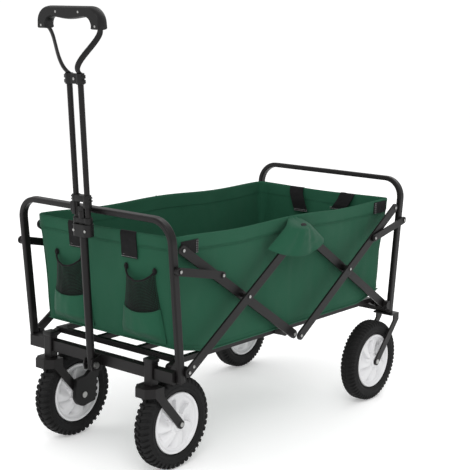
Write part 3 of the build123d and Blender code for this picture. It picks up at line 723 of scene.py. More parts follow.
    @classmethod
    def join(cls, pieces: Sequence[bpy.types.Object], name: str) -> bpy.types.Object:
        """Joins pieces of one finish.

        Args:
            pieces: The objects.
            name: Name of the result.

        Returns:
            The joined object.
        """
        cls.clear()
        for piece in pieces:
            piece.select_set(True)
        bpy.context.view_layer.objects.active = pieces[0]
        if len(pieces) > 1:
            bpy.ops.object.join()
        whole = bpy.context.view_layer.objects.active
        whole.name = whole.data.name = name
        return whole

    @classmethod
    def copies(cls, pattern: bpy.types.Object, places: Iterable[Matrix],
               name: str) -> bpy.types.Object:
        """Repeats a pattern piece and joins the copies.

        Args:
            pattern: The piece to repeat, removed afterwards.
            places: Transform of each copy.
            name: Name of the result.

        Returns:
            The joined object.
        """
        made: List[bpy.types.Object] = []
        for place in places:
            mesh = pattern.data.copy()
            mesh.transform(place)
            if place.determinant() < 0:
                mesh.flip_normals()
            copy = bpy.data.objects.new(name, mesh)
            bpy.context.collection.objects.link(copy)
            made.append(copy)
        whole = cls.join(made, name)
        bpy.data.objects.remove(pattern)
        return whole

    @classmethod
    def smooth(cls, piece: bpy.types.Object, angle: float = 40.0) -> bpy.types.Object:
        """Shades a piece smooth up to an angle in degrees."""
        cls.only(piece)
        bpy.ops.object.shade_smooth_by_angle(angle=math.radians(angle))
        return piece

    @classmethod
    def dress(cls, piece: bpy.types.Object, finish: Finish, body: Optional[str],
              angle: float = 40.0) -> bpy.types.Object:
        """Shades, paints and mounts a finished piece.

        Args:
            piece: The object.
            finish: Its finish.
            body: The body it rides on, or None to leave it unattached.
            angle: Smoothing angle in degrees.

        Returns:
            The same object.
        """
        cls.smooth(piece, angle)
        piece.data.materials.clear()
        piece.data.materials.append(finish.material())
        if body:
            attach(piece, body)
        return piece


class Loom:
    """Makes cloth as a grid of points with a UV map in metres."""

    @staticmethod
    def weave(name: str, across: int, up: int, point: Callable[[float, float], Vector],
              flat: Tuple[float, float], closed: bool = False) -> bpy.types.Object:
        """Builds a sheet from a function of two shares.

        Args:
            name: The piece's name.
            across: Cells across.
            up: Cells up.
            point: Place of a point, from its share across and up, 0 to 1.
            flat: Size of the flat cut in metres.
            closed: Whether the sheet runs round to its start.

        Returns:
            The sheet as one layer of faces.
        """
        build = bmesh.new()
        layer = build.loops.layers.uv.new("UVMap")
        columns = across if closed else across + 1
        grid = [[build.verts.new(point(i / across, j / up)) for j in range(up + 1)]
                for i in range(columns)]
        for i in range(across):
            for j in range(up):
                ring = ((i, j), (i + 1, j), (i + 1, j + 1), (i, j + 1))
                face = build.faces.new([grid[a % columns][b] for a, b in ring])
                for loop, (a, b) in zip(face.loops, ring):
                    loop[layer].uv = (a / across * flat[0], b / up * flat[1])
        mesh = bpy.data.meshes.new(name)
        build.to_mesh(mesh)
        build.free()
        piece = bpy.data.objects.new(name, mesh)
        bpy.context.collection.objects.link(piece)
        return piece

    @staticmethod
    def thicken(piece: bpy.types.Object, thickness: float, offset: float = 1.0) -> bpy.types.Object:
        """Gives a sheet its thickness.

        Args:
            piece: The sheet.
            thickness: In metres.
            offset: -1 to grow inward, 1 outward.

        Returns:
            The same object.
        """
        return Bench.apply(piece, "SOLIDIFY", thickness=thickness, offset=offset)


def ease(value: float) -> float:
    """Smooth step of a value held to 0..1."""
    held = min(max(value, 0.0), 1.0)
    return held * held * (3.0 - 2.0 * held)


def bell(distance: float, width: float) -> float:
    """A bell that falls away over a width."""
    return math.exp(-((distance / width) ** 2))


def crumple(place: Vector, scale: float, seed: float) -> float:
    """Steady smooth unevenness from -1 to 1 at a place."""
    return noise.noise(place * scale + Vector((seed, seed * 1.7, -seed)))


def mix(a: float, b: float, share: float) -> float:
    """Number a share of the way from a to b."""
    return a + (b - a) * share


@dataclass
class Layout:
    """Positions shared by the sub-assemblies, read from the frame's joints."""

    front_y: float = 0.0
    rear_y: float = 0.0
    mid_y: float = 0.0
    pivot_z: float = 0.0
    rise: float = 0.248
    outer_face: float = 0.231
    gather_from: float = 0.397
    gather_keep: float = 0.23

    def __post_init__(self) -> None:
        """Reads the pivots of the fold from the frame."""
        joints = {j["name"]: j for j in frame["record"]["behaviour"]["joints"]}
        self.joints = joints
        _, self.front_y, self.pivot_z = joints["fold"]["pos_m"]
        self.mid_y = joints["floor_centre"]["pos_m"][1]
        self.rear_y = joints["rear_frame_hinge"]["pos_m"][1]

    def place(self, joint: str) -> Vector:
        """Place of a joint in the frame."""
        return Vector(self.joints[joint]["pos_m"])


LAYOUT = Layout()


# ---------------------------------------------------------------- soft goods


@dataclass
class Tub:
    """The open cloth tub: walls, floor, folded hem, piping and stitching."""

    foot_x: float = 0.194
    rim_x: float = 0.2013
    floor_y: float = 0.280
    toe_y: float = 0.375
    rim_y: float = 0.3966
    floor_z: float = 0.2512
    toe_z: float = 0.272
    rim_z: float = 0.500
    corner: float = 0.014
    cloth: float = 0.0011
    hem: float = 0.030
    across: int = 300
    up: int = 44
    wall_cut: float = 0.255
    floor_cut: float = 0.380
    floor_bend: float = 0.045
    seam_proud: float = 0.0027
    seam_pitch: float = 0.0048

    @property
    def girth(self) -> float:
        """Length of the rim, all the way round."""
        return 2 * (2 * self.rim_x + 2 * self.rim_y)

    def outline(self, share: float, half_x: float, half_y: float) -> Tuple[Vector, Vector]:
        """Point and outward direction on a rounded rectangle.

        Args:
            share: Share of the way round, starting in the middle of the front.
            half_x: Half its width.
            half_y: Half its length.

        Returns:
            The point and the outward direction, both level.
        """
        r = self.corner
        sides = (half_x - r, 2 * (half_y - r), 2 * (half_x - r), 2 * (half_y - r), half_x - r)
        arc = math.pi / 2 * r
        left = (share % 1.0) * (sum(sides) + 4 * arc)
        place, heading = Vector((0, -half_y, 0)), 0.0
        for index, length in enumerate(sides):
            along = Vector((math.cos(heading), math.sin(heading), 0))
            out = Vector((along.y, -along.x, 0))
            if left <= length:
                return place + along * left, out
            place += along * length
            left -= length
            if index == len(sides) - 1:
                break
            centre = place - out * r
            if left <= arc:
                turn = heading + left / r
                out = Vector((math.sin(turn), -math.cos(turn), 0))
                return centre + out * r, out
            left -= arc
            heading += math.pi / 2
            along = Vector((math.cos(heading), math.sin(heading), 0))
            place = centre + Vector((along.y, -along.x, 0)) * r
        return place, Vector((0, -1, 0))

    def rim_height(self, y: float, x: float) -> float:
        """Height of the rim: high at the corners and the bar crossings, low between."""
        t = y / self.rim_y
        sag = 0.0052 * (1 - math.cos(math.tau * t)) / 2
        tilt = mix(0.0055, -0.0015, (t + 1) / 2)
        end = 0.004 * bell(x, 0.14) * ease((abs(t) - 0.9) / 0.1)
        return self.rim_z + tilt - sag - end

    def foot_height(self, y: float) -> float:
        """Height of the lower edge, which rises toward both ends."""
        rise = max(abs(y) - self.floor_y, 0.0) / (self.toe_y - self.floor_y)
        return mix(self.floor_z, self.toe_z, min(rise, 1.0))

    def slack(self, point: Vector, out: Vector, v: float) -> float:
        """How far the wall stands out from flat at a place, in metres.

        Args:
            point: Place on the flat wall, from the wagon's middle.
            out: Its outward direction.
            v: Share of the way up.

        Returns:
            Distance outward; negative is inward.
        """
        middle = math.sin(math.pi * min(max(v, 0.0), 1.0))
        side = abs(out.x)
        run = point.y if side > 0.5 else point.x * 1.3 + 2.0
        lean = run + 0.45 * point.z * (1 if run > 0 else -1)
        fold = crumple(Vector((lean, 0.35 * point.z, out.x)), 9.0, 3.1)
        fine = crumple(Vector((run * 1.6, point.z * 0.8, out.x + 4)), 26.0, 8.7)
        ripple = 0.0042 * fold + 0.0012 * fine
        gather = 0.0005 * math.sin(run * 61.0 + 2.0 * fold) * bell(v - 0.91, 0.05)
        toe = 0.0014 * math.sin(run * 62.0 + 1.1) * bell(v - 0.04, 0.09)
        draw = -0.0042 * middle if side > 0.5 else -0.0018 * middle
        return draw + (ripple + toe) * ease(middle * 2.2) + gather

    def wall(self, share: float, v: float, proud: float = 0.0) -> Vector:
        """Point of the wall.

        Args:
            share: Share of the way round.
            v: Share of the way up.
            proud: Extra distance outward.

        Returns:
            The point in the frame.
        """
        foot, _ = self.outline(share, self.foot_x, self.toe_y)
        rim, out = self.outline(share, self.rim_x, self.rim_y)
        low = self.foot_height(foot.y)
        high = self.rim_height(rim.y, rim.x)
        z = mix(low, high, v)
        lift = (z - self.toe_z) / (self.rim_z - self.toe_z)
        place = foot.lerp(rim, min(max(lift, 0.0), 1.05))
        place.z = z
        place += out * (self.slack(place, out, v) + proud)
        place.y += LAYOUT.mid_y
        return place

    def floor_point(self, a: float, b: float) -> Vector:
        """Point of the floor from its shares across and along."""
        y = mix(-self.toe_y, self.toe_y, b) * 0.9985
        place = Vector((mix(-self.foot_x, self.foot_x, a) * 0.998, y, self.foot_height(y)))
        edge = min(a, 1 - a, 0.08) / 0.08
        place.z -= 0.0006 * edge * (1 + crumple(place, 14.0, 5.0))
        place.y += LAYOUT.mid_y
        return place

    def hem_point(self, share: float, around: float) -> Vector:
        """Point of the folded hem, from outside over the rim to inside."""
        turn = (around - 0.5) * 2
        drop = max(abs(turn) - 0.12, 0) / 0.88 * self.hem
        edge = 0.0013 * (1 if turn < 0 else -1) * min(abs(turn) / 0.12, 1.0)
        span = self.rim_z - self.floor_z
        place = self.wall(share, 1 - drop / span, edge)
        place.z += 0.0014 * (1 - min(abs(turn) / 0.12, 1.0) ** 2)
        return place

    def seam(self, name: str, v: float, proud: float, pitch: float) -> bpy.types.Object:
        """A row of stitches round the wall.

        Args:
            name: The piece's name.
            v: Share of the way up.
            proud: Distance outward from the wall.
            pitch: Distance from stitch to stitch.

        Returns:
            The row of stitches.
        """
        count = int(self.girth / pitch)
        places = []
        for index in range(count):
            here = self.wall(index / count, v, proud)
            ahead = self.wall((index + 0.5) / count, v, proud)
            places.append(Stitch.frame(here, ahead, Vector((here.x, here.y - LAYOUT.mid_y, 0))))
        return Stitch.row(name, places)

    def build(self) -> List[bpy.types.Object]:
        """Makes the tub and its trimmings."""
        height = self.rim_z - self.floor_z
        walls = Loom.weave("tub_walls", self.across, self.up, self.wall, (self.girth, height),
                           True)
        Loom.thicken(walls, self.cloth, -1.0)
        hem = Loom.weave("tub_hem", self.across, 22, self.hem_point, (self.girth, 2 * self.hem),
                         True)
        Loom.thicken(hem, 0.0009, 1.0)
        trims = [self.piping()]
        stitches = [self.seam(name, 1 - drop / height, self.seam_proud, self.seam_pitch)
                    for name, drop in (("hem_stitches", 0.026), ("hem_stitches_low", 0.0285))]
        stitches.append(
            self.seam("foot_stitches", 0.035, 0.0004, 0.0052))
        for piece in (walls, hem, *trims):
            Bench.dress(piece, GREEN, Body.FRONT.value, 60)
            fold_up(piece)
        for piece in stitches:
            Bench.dress(piece, THREAD, Body.FRONT.value, 60)
            fold_up(piece)
        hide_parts("tub")
        return [walls, *(self.floor_half(end) for end in End), hem, *trims, *stitches]

    def floor_half(self, end: End) -> bpy.types.Object:
        """One half of the tub's floor, baked in place and attached to no body.

        Args:
            end: Which half.

        Returns:
            The sheet.
        """
        start = 0.0 if end is End.FRONT else 0.5
        sheet = Loom.weave(f"tub_floor_{end.word}", 24, 32,
                           lambda a, b: self.floor_point(a, start + b / 2),
                           (2 * self.foot_x, self.toe_y))
        Loom.thicken(sheet, self.cloth, -1.0)
        Bench.dress(sheet, GREEN, None, 60)
        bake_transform(sheet)
        return sheet

    def piping(self) -> bpy.types.Object:
        """Piping along the lower edge and up the four corners."""
        rounds = [self.wall(i / 200, 0.0, 0.0008) for i in range(200)]
        parts = [Bench.pipe("foot_piping", rounds, 0.0019, closed=True)]
        ring = self.girth - 8 * self.corner + math.tau * self.corner
        half_front = self.rim_x - self.corner
        arc = math.pi / 2 * self.corner
        corner_at = (half_front + arc / 2) / ring
        side_at = (half_front + arc * 1.5 + 2 * (self.rim_y - self.corner)) / ring
        for share in (corner_at, side_at, 1 - side_at, 1 - corner_at):
            path = [self.wall(share, 0.01 + 0.94 * j / 10, 0.0006) for j in range(11)]
            parts.append(Bench.pipe("corner_piping", path, 0.0015))
        return Bench.join(parts, "tub_piping")


def fold_up(piece: bpy.types.Object) -> bpy.types.Object:
    """Gives a cloth piece its own copy of its mesh."""
    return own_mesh(piece)


class Stitch:
    """Sewing thread as rows of small rounded stitches."""

    LENGTH = 0.0031
    WIDTH = 0.0009
    HEIGHT = 0.0007

    @staticmethod
    def frame(here: Vector, ahead: Vector, out: Vector) -> Matrix:
        """Transform of one stitch.

        Args:
            here: Its start.
            ahead: A point further along the seam.
            out: Direction away from the cloth.

        Returns:
            The transform.
        """
        along = (ahead - here).normalized()
        across = along.cross(out).normalized()
        face = across.cross(along)
        turn = Matrix((along, across, face)).transposed().to_4x4()
        return Matrix.Translation(here) @ turn

    @classmethod
    def row(cls, name: str, places: Sequence[Matrix]) -> bpy.types.Object:
        """Copies one stitch to every place.

        Args:
            name: The row's name.
            places: Transform of each stitch.

        Returns:
            The row as one piece.
        """
        Bench.clear()
        bpy.ops.mesh.primitive_cylinder_add(vertices=6, radius=0.5, depth=1.0,
                                            rotation=(0, math.pi / 2, 0))
        one = Bench.settle(bpy.context.object, name)
        one.data.transform(Matrix.Diagonal((cls.LENGTH, cls.WIDTH, cls.HEIGHT, 1.0)))
        return Bench.copies(one, places, name)


@dataclass
class Panel:
    """The leaning outer face of one end of the tub, as a place to sew things to."""

    tub: Tub
    end: End

    def point(self, x: float, z: float, out: float) -> Vector:
        """Point on or above the panel.

        Args:
            x: Place across the wagon.
            z: Height.
            out: Distance outward from the flat panel.

        Returns:
            The point in the frame.
        """
        t = (z - self.tub.toe_z) / (self.tub.rim_z - self.tub.toe_z)
        y = mix(self.tub.toe_y, self.tub.rim_y, t) + out
        return Vector((x, LAYOUT.mid_y + self.end.value * y, z))


@dataclass
class CupPocket:
    """A cup pocket: gathered green pouch, black net above it and an elastic mouth."""

    panel: Panel
    side: Side
    middle: float = 0.105
    foot_half: float = 0.061
    mouth_half: float = 0.040
    foot_z: float = 0.277
    join_z: float = 0.350
    mouth_z: float = 0.429
    deep: float = 0.0245
    join_dip: float = 0.010
    mouth_dip: float = 0.023
    pouch_cut: Tuple[float, float] = (0.140, 0.078)
    net_cut: Tuple[float, float] = (0.115, 0.068)

    def half(self, z: float) -> float:
        """Half width of the pocket at a height."""
        t = (z - self.foot_z) / (self.mouth_z - self.foot_z)
        return mix(self.foot_half, self.mouth_half, ease(t) ** 0.8)

    def bulge(self, z: float, a: float) -> float:
        """Distance outward at a height and a share across."""
        t = (z - self.foot_z) / (self.mouth_z - self.foot_z)
        belly = ease(t / 0.16) * (1.0 - 0.22 * ease((t - 0.35) / 0.6))
        arch = max(math.sin(math.pi * a), 0.0) ** 0.55
        pleat = 0.0006 * math.sin(a * 29.0 + 1.5) * ease((t - 0.45) / 0.5) * arch
        dent = 0.0022 * crumple(Vector((a * 2.2, t * 1.5, self.side.value)), 2.6, 1.3) * arch
        return min(0.0026 + (self.deep - 0.003) * belly * arch + pleat + dent, self.deep + 0.001)

    def point(self, a: float, z: float, extra: float = 0.0) -> Vector:
        """Point of the pocket's front at a share across and a height."""
        x = self.side.value * self.middle + (a - 0.5) * 2 * self.half(z)
        return self.panel.point(x, z, self.bulge(z, a) + extra)

    def dip(self, a: float, depth: float) -> float:
        """Sag of an edge between its two ends."""
        return depth * max(math.sin(math.pi * a), 0.0) ** 0.6

    def green(self, a: float, b: float) -> Vector:
        """Point of the pouch."""
        top = self.join_z - self.dip(a, self.join_dip)
        return self.point(a, mix(self.foot_z, top, b))

    def net(self, a: float, b: float) -> Vector:
        """Point of the net."""
        low = self.join_z - self.dip(a, self.join_dip) - 0.0015
        high = self.mouth_z - self.dip(a, self.mouth_dip)
        return self.point(a, mix(low, high, b), -0.0012)

    def build(self) -> List[bpy.types.Object]:
        """Makes the pocket's pieces."""
        word = self.side.word
        pouch = Loom.weave(f"{word}_pocket_pouch", 44, 26, self.green, self.pouch_cut)
        net = Loom.weave(f"{word}_pocket_net", 44, 20, self.net, self.net_cut)
        if self.panel.end is End.FRONT:
            for piece in (pouch, net):
                piece.data.flip_normals()
        Loom.thicken(pouch, 0.0011, -1.0)
        shares = [i / 20 for i in range(21)]
        edge = [self.point(a, self.join_z - self.dip(a, self.join_dip), 0.0006) for a in shares]
        lip = Bench.pipe(f"{word}_pocket_binding", edge, 0.0013)
        mouth = [self.point(a, self.mouth_z - self.dip(a, self.mouth_dip), -0.0006)
                 for a in shares]
        elastic = Bench.pipe("elastic", mouth, 0.0022)
        knots = [self.knot(a) for a in (0.0, 1.0)]
        trim = Bench.join([elastic, *knots], f"{word}_pocket_elastic")
        for piece, finish in ((pouch, GREEN), (lip, GREEN), (net, NET), (trim, BLACK_WEB)):
            Bench.dress(piece, finish, Body.FRONT.value, 60)
            fold_up(piece)
        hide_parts(f"{word}_cup_pocket")
        return [pouch, net, lip, trim]

    def knot(self, a: float) -> bpy.types.Object:
        """Bunched cloth where the elastic is sewn down."""
        Bench.clear()
        place = self.point(a, self.mouth_z, 0.0)
        bpy.ops.mesh.primitive_uv_sphere_add(segments=20, ring_count=12, radius=1.0, location=place,
                                             scale=(0.0044, 0.0034, 0.0075))
        piece = Bench.settle(bpy.context.object, "knot")
        for vertex in piece.data.vertices:
            away = vertex.co - place
            ridge = 1 + 0.22 * math.sin(math.atan2(away.y, away.x) * 5 + away.z * 260)
            vertex.co = place + Vector((away.x * ridge, away.y * ridge, away.z))
        return piece


@dataclass
class Strap:
    """A flat strap: a strip of webbing along a path, with a sewn end."""

    name: str
    body: Body
    width: float = 0.044
    thick: float = 0.0016
    ripple: float = 0.0006
    rows: int = 2

    def strip(self, path: Sequence[Vector], across: Vector,
              steps: int = 60) -> bpy.types.Object:
        """Lays webbing along points.

        Args:
            path: Points along its middle.
            across: Direction of its width.
            steps: Cells along it.

        Returns:
            The strip, with its thickness.
        """
        lengths = [0.0]
        for a, b in zip(path, path[1:]):
            lengths.append(lengths[-1] + (b - a).length)
        total = lengths[-1]

        def at(share: float) -> Vector:
            """Point a share of the way along the path."""
            want = share * total
            for index in range(len(path) - 1):
                if want <= lengths[index + 1] + 1e-9:
                    span = lengths[index + 1] - lengths[index]
                    return path[index].lerp(path[index + 1], (want - lengths[index]) / span)
            return path[-1].copy()

        def point(a: float, b: float) -> Vector:
            """Point of the strip."""
            here = at(b)
            near, far = at(max(b - 0.04, 0)), at(min(b + 0.04, 1))
            normal = (far - near).cross(across).normalized()
            wave = self.ripple * crumple(Vector((a * 2, b * 5, total * 9)), 2.0, 6.0)
            return (near + far + here * 2) / 4 + across * (a - 0.5) * self.width + normal * wave

        piece = Loom.weave(self.name, 10, steps, point, (self.width, total))
        return Loom.thicken(piece, self.thick, 0.0)

    def tack(self, place: Vector, along: Vector, across: Vector) -> bpy.types.Object:
        """Rows of stitches across the strap.

        Args:
            place: Middle of the first row.
            along: Step from row to row.
            across: Direction of a row.

        Returns:
            The stitches.
        """
        places = []
        count = int(self.width / 0.0042)
        out = across.cross(along).normalized()
        for row in range(self.rows):
            for index in range(count):
                here = place + along * row + across * ((index + 0.3) / count - 0.5) * self.width
                places.append(Stitch.frame(here, here + across, out))
        return Stitch.row(f"{self.name}_stitches", places)

    def finish(self, pieces: Sequence[bpy.types.Object], node: str,
               flat: Tuple[float, float], squashed: bool) -> List[bpy.types.Object]:
        """Dresses the strap's strips and stitches.

        Args:
            pieces: The strip, then its stitches.
            node: CAD node that it stands for.
            flat: Its cut size; not used.
            squashed: Whether its strip and stitches get their own mesh copies.

        Returns:
            The finished pieces.
        """
        strip, stitches = pieces
        Bench.dress(strip, BLACK_WEB, self.body.value, 50)
        Bench.dress(stitches, PALE_THREAD, self.body.value, 60)
        if squashed:
            fold_up(strip)
            fold_up(stitches)
        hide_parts(node)
        return [strip, stitches]


@dataclass
class Webbing:
    """All the straps and corner tabs sewn to the tub."""

    tub: Tub
    strap_x: float = 0.078
    tab_z: float = 0.482
    front_cut: Tuple[float, float] = (0.044, 0.09)
    rear_cut: Tuple[float, float] = (0.042, 0.076)
    tab_cut: Tuple[float, float] = (0.028, 0.057)

    def front(self, side: Side) -> List[bpy.types.Object]:
        """One front strap: up the outside, over the rim and down inside."""
        strap = Strap(f"{side.word}_front_strap", Body.FRONT)
        panel = Panel(self.tub, End.FRONT)
        x = side.value * self.strap_x
        top = self.tub.rim_height(-self.tub.rim_y, x)
        path = [panel.point(x, 0.4475, 0.0035), panel.point(x, 0.466, 0.0040),
                panel.point(x, 0.482, 0.0040), panel.point(x, top - 0.004, 0.0042),
                panel.point(x, top + 0.0018, 0.0030), panel.point(x, top + 0.0030, 0.0),
                panel.point(x, top + 0.0016, -0.0034), panel.point(x, top - 0.005, -0.0045),
                panel.point(x, top - 0.024, -0.0045)]
        strip = strap.strip(path, Vector((1, 0, 0)))
        stitches = strap.tack(path[0] + Vector((0, -0.0012, 0.003)), Vector((0, 0, 0.0045)),
                              Vector((1, 0, 0)))
        return strap.finish((strip, stitches), "front_straps", self.front_cut, True)

    def rear(self, side: Side, drop: float) -> List[bpy.types.Object]:
        """One rear strap, which hangs loose down the inside."""
        strap = Strap(f"{side.word}_rear_strap", Body.REAR, 0.042)
        panel = Panel(self.tub, End.REAR)
        x = side.value * 0.080
        top = self.tub.rim_height(self.tub.rim_y, x)
        toward = -side.value
        path = [panel.point(x, top - 0.012, 0.0038), panel.point(x, top - 0.003, 0.0038),
                panel.point(x, top + 0.0022, 0.0022), panel.point(x, top + 0.0026, -0.0010),
                panel.point(x, top + 0.0010, -0.0046),
                panel.point(x + toward * 0.004, top - 0.014, -0.0095),
                panel.point(x + toward * 0.013, top - 0.030, -0.0125),
                panel.point(x + toward * 0.024, drop, -0.0100)]
        strip = strap.strip(path, Vector((1, 0, 0)))
        stitches = strap.tack(path[-1] + Vector((0, -0.0012, 0.006)), Vector((0, 0, -0.0035)),
                              Vector((1, 0, 0)))
        return strap.finish((strip, stitches), "rear_straps", self.rear_cut, False)

    def tab(self, side: Side, end: End) -> List[bpy.types.Object]:
        """One corner tab, laid along the side where it holds the bar."""
        strap = Strap(f"{side.word}_{end.word}_tab", Body.FRONT, 0.028, 0.0015)
        x = side.value * (self.tub.rim_x + 0.0022)
        ends = (0.018, 0.044, 0.068, 0.072)
        lift = (0.0, 0.0004, 0.0003, -0.0012)
        path = [Vector((x + side.value * h, LAYOUT.mid_y + end.value * (0.397 - d), self.tab_z))
                for d, h in zip(ends, lift)]
        strip = strap.strip(path, Vector((0, 0, 1)), 24)
        stitches = strap.tack(path[2] + Vector((side.value * 0.0012, 0, 0)),
                              Vector((0, end.value * 0.004, 0)), Vector((0, 0, 1)))
        return strap.finish((strip, stitches), "corner_tabs", self.tab_cut, True)

    def build(self) -> List[bpy.types.Object]:
        """Makes every strap and tab."""
        made: List[bpy.types.Object] = []
        for side, drop in ((Side.LEFT, 0.454), (Side.RIGHT, 0.436)):
            made += self.front(side)
            made += self.rear(side, drop)
            for end in End:
                made += self.tab(side, end)
        return made


@dataclass
class SideFlap:
    """The tented patch that covers the upper crossing of the side bars."""

    tub: Tub
    side: Side
    proud_x: float = 0.2412
    left_y: float = -0.112
    right_y: float = 0.092
    cut: Tuple[float, float] = (0.21, 0.11)
    cut_area: float = 0.0145

    def point(self, a: float, b: float) -> Vector:
        """Point of the flap from its share across and down."""
        peak_a, peak_b = Vector((-0.016, 0.5045)), Vector((0.010, 0.5010))
        left, right = Vector((self.left_y, 0.4490)), Vector((self.right_y, 0.4480))
        sag = 0.024 * math.sin(math.pi * a) ** 0.8 + 0.004
        low = left.lerp(right, a) - Vector((0, sag))
        high = peak_a.lerp(peak_b, a)
        at = high.lerp(low, b ** 0.92)
        crest = math.sin(math.pi * a) ** 0.5
        reach = ease(b / 0.30) * (0.32 + 0.68 * crest)
        x = mix(self.tub.rim_x + 0.0016, self.proud_x, reach)
        fan = math.sin(a * 15.0 + 0.8) * 0.0016 + math.sin(a * 33.0 + b * 2) * 0.0006
        x += fan * ease(b * 1.6)
        x += 0.0010 * crumple(Vector((a * 3, b * 3, self.side.value)), 2.4, 9.0)
        x = min(x, 0.2436)
        return Vector((self.side.value * x, LAYOUT.mid_y + at.x, at.y))

    def build(self) -> List[bpy.types.Object]:
        """Makes the flap and its edge binding."""
        word = self.side.word
        flap = Loom.weave(f"{word}_flap", 64, 44, self.point, (0.21, 0.10))
        if self.side is Side.RIGHT:
            flap.data.flip_normals()
        Loom.thicken(flap, 0.0009, 0.0)
        rim = [self.point(1.0, j / 12) for j in range(13)]
        rim += [self.point(1 - i / 24, 1.0) for i in range(1, 25)]
        rim += [self.point(0.0, 1 - j / 12) for j in range(1, 13)]
        binding = Bench.pipe(f"{word}_flap_binding", rim, 0.0011)
        for piece in (flap, binding):
            Bench.dress(piece, GREEN, Body.FRONT.value, 60)
            fold_up(piece)
        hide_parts(f"{word}_side_flap")
        return [flap, binding]


@dataclass
class FloorBoard:
    """A stiff floor panel in its sewn cloth cover."""

    node: str
    body: Body

    def build(self) -> List[bpy.types.Object]:
        """Makes the covered board and its piping."""
        low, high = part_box(self.node)
        board = Bench.block(f"{self.node}_cover", low, high)
        Bench.apply(board, "BEVEL", width=0.0016, segments=3)
        Bench.only(board)
        Bench.edit(lambda: bpy.ops.mesh.subdivide(number_cuts=6))
        inset = 0.004
        z = (low.z + high.z) / 2
        ring = []
        for x, y in ((low.x, low.y), (high.x, low.y), (high.x, high.y), (low.x, high.y)):
            sx = inset if x == low.x else -inset
            sy = inset if y == low.y else -inset
            bend = [(0.4, 3), (0.4, 0.4), (3, 0.4)]
            if (x == low.x) != (y == low.y):
                bend.reverse()
            ring += [Vector((x + sx * u, y + sy * v, z)) for u, v in bend]
        piping = Bench.pipe(f"{self.node}_piping", ring, 0.0016, closed=True)
        for piece in (board, piping):
            Bench.dress(piece, BOARD, self.body.value, 50)
        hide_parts(self.node)
        return [board, piping]


# ---------------------------------------------------------------- wheels


class Tread(Enum):
    """Tread patterns: lugs per side, lug length, lug height."""

    CHUNKY = (44, 0.0076, 0.0034)
    FINE = (58, 0.0052, 0.0017)


@dataclass
class Tyre:
    """A tyre with a rounded carcass, bead rings and moulded lugs."""

    node: str
    body: str
    tread: Tread
    outer: float = 0.100
    inner: float = 0.0655
    half: float = 0.0190

    def carcass(self, centre: Vector) -> bpy.types.Object:
        """The smooth tyre under its lugs."""
        top = self.outer - self.tread.value[2] + 0.0003
        middle, deep = (top + self.inner) / 2, (top - self.inner) / 2
        section = []
        steps = 36
        for index in range(steps):
            turn = math.tau * index / steps
            c, s = math.cos(turn), math.sin(turn)
            across = self.half * 0.985 * math.copysign(abs(c) ** 0.72, c)
            radius = middle + deep * math.copysign(abs(s) ** 0.66, s)
            section.append((across, radius))
        return Bench.ring(self.node + "_carcass", section, centre, 112)

    def bead(self, centre: Vector, radius: float, across: float, size: float) -> bpy.types.Object:
        """A thin raised ring on the sidewall."""
        turns = [t * math.tau / 6 for t in range(6)]
        section = [(across + size * math.cos(t), radius + size * math.sin(t)) for t in turns]
        return Bench.ring("bead", section, centre, 96)

    def lug(self, centre: Vector) -> bpy.types.Object:
        """One lug, wrapped from the tread over the shoulder."""
        _, length, height = self.tread.value
        base, top = self.outer - height - 0.0016, self.outer
        outline = ((0.0012, top - 0.0002), (0.0120, top - 0.0008), (0.0166, top - 0.0034),
                   (0.0192, top - 0.0082), (0.0195, top - 0.0130), (0.0176, top - 0.0130),
                   (0.0164, base - 0.0050), (0.0120, base), (0.0012, base))
        corners = [centre + Vector((x, -length / 2, r)) for x, r in outline]
        piece = Bench.plate("lug", corners, (0, length, 0))
        for vertex in piece.data.vertices:
            away = vertex.co - centre
            skew = (away.x - 0.010) * 0.32
            taper = 0.16 if self.tread is Tread.CHUNKY else 0.0
            shrink = 1 - taper * ease((away.z - base) / height)
            vertex.co = centre + Vector((away.x, away.y * shrink + skew, away.z))
        return Bench.round_edges(piece, 0.0006, 1, 30)

    def build(self) -> bpy.types.Object:
        """Makes the tyre."""
        low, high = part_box(self.node)
        centre = (low + high) / 2
        count = self.tread.value[0]
        places = []
        for index in range(count * 2):
            turn = Matrix.Rotation(math.tau * index / (count * 2), 4, "X")
            flip = Matrix.Diagonal((1 if index % 2 else -1, 1, 1, 1))
            places.append(Matrix.Translation(centre) @ turn @ flip @ Matrix.Translation(-centre))
        lugs = Bench.copies(self.lug(centre), places, "lugs")
        rings = [self.bead(centre, radius, side * across, size)
                 for side in (-1, 1)
                 for radius, across, size in ((0.0695, 0.0160, 0.0013), (0.0790, 0.0186, 0.0007))]
        tyre = Bench.join([self.carcass(centre), lugs, *rings], self.node + "_tread")
        Bench.dress(tyre, RUBBER, self.body, 35)
        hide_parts(self.node)
        return tyre


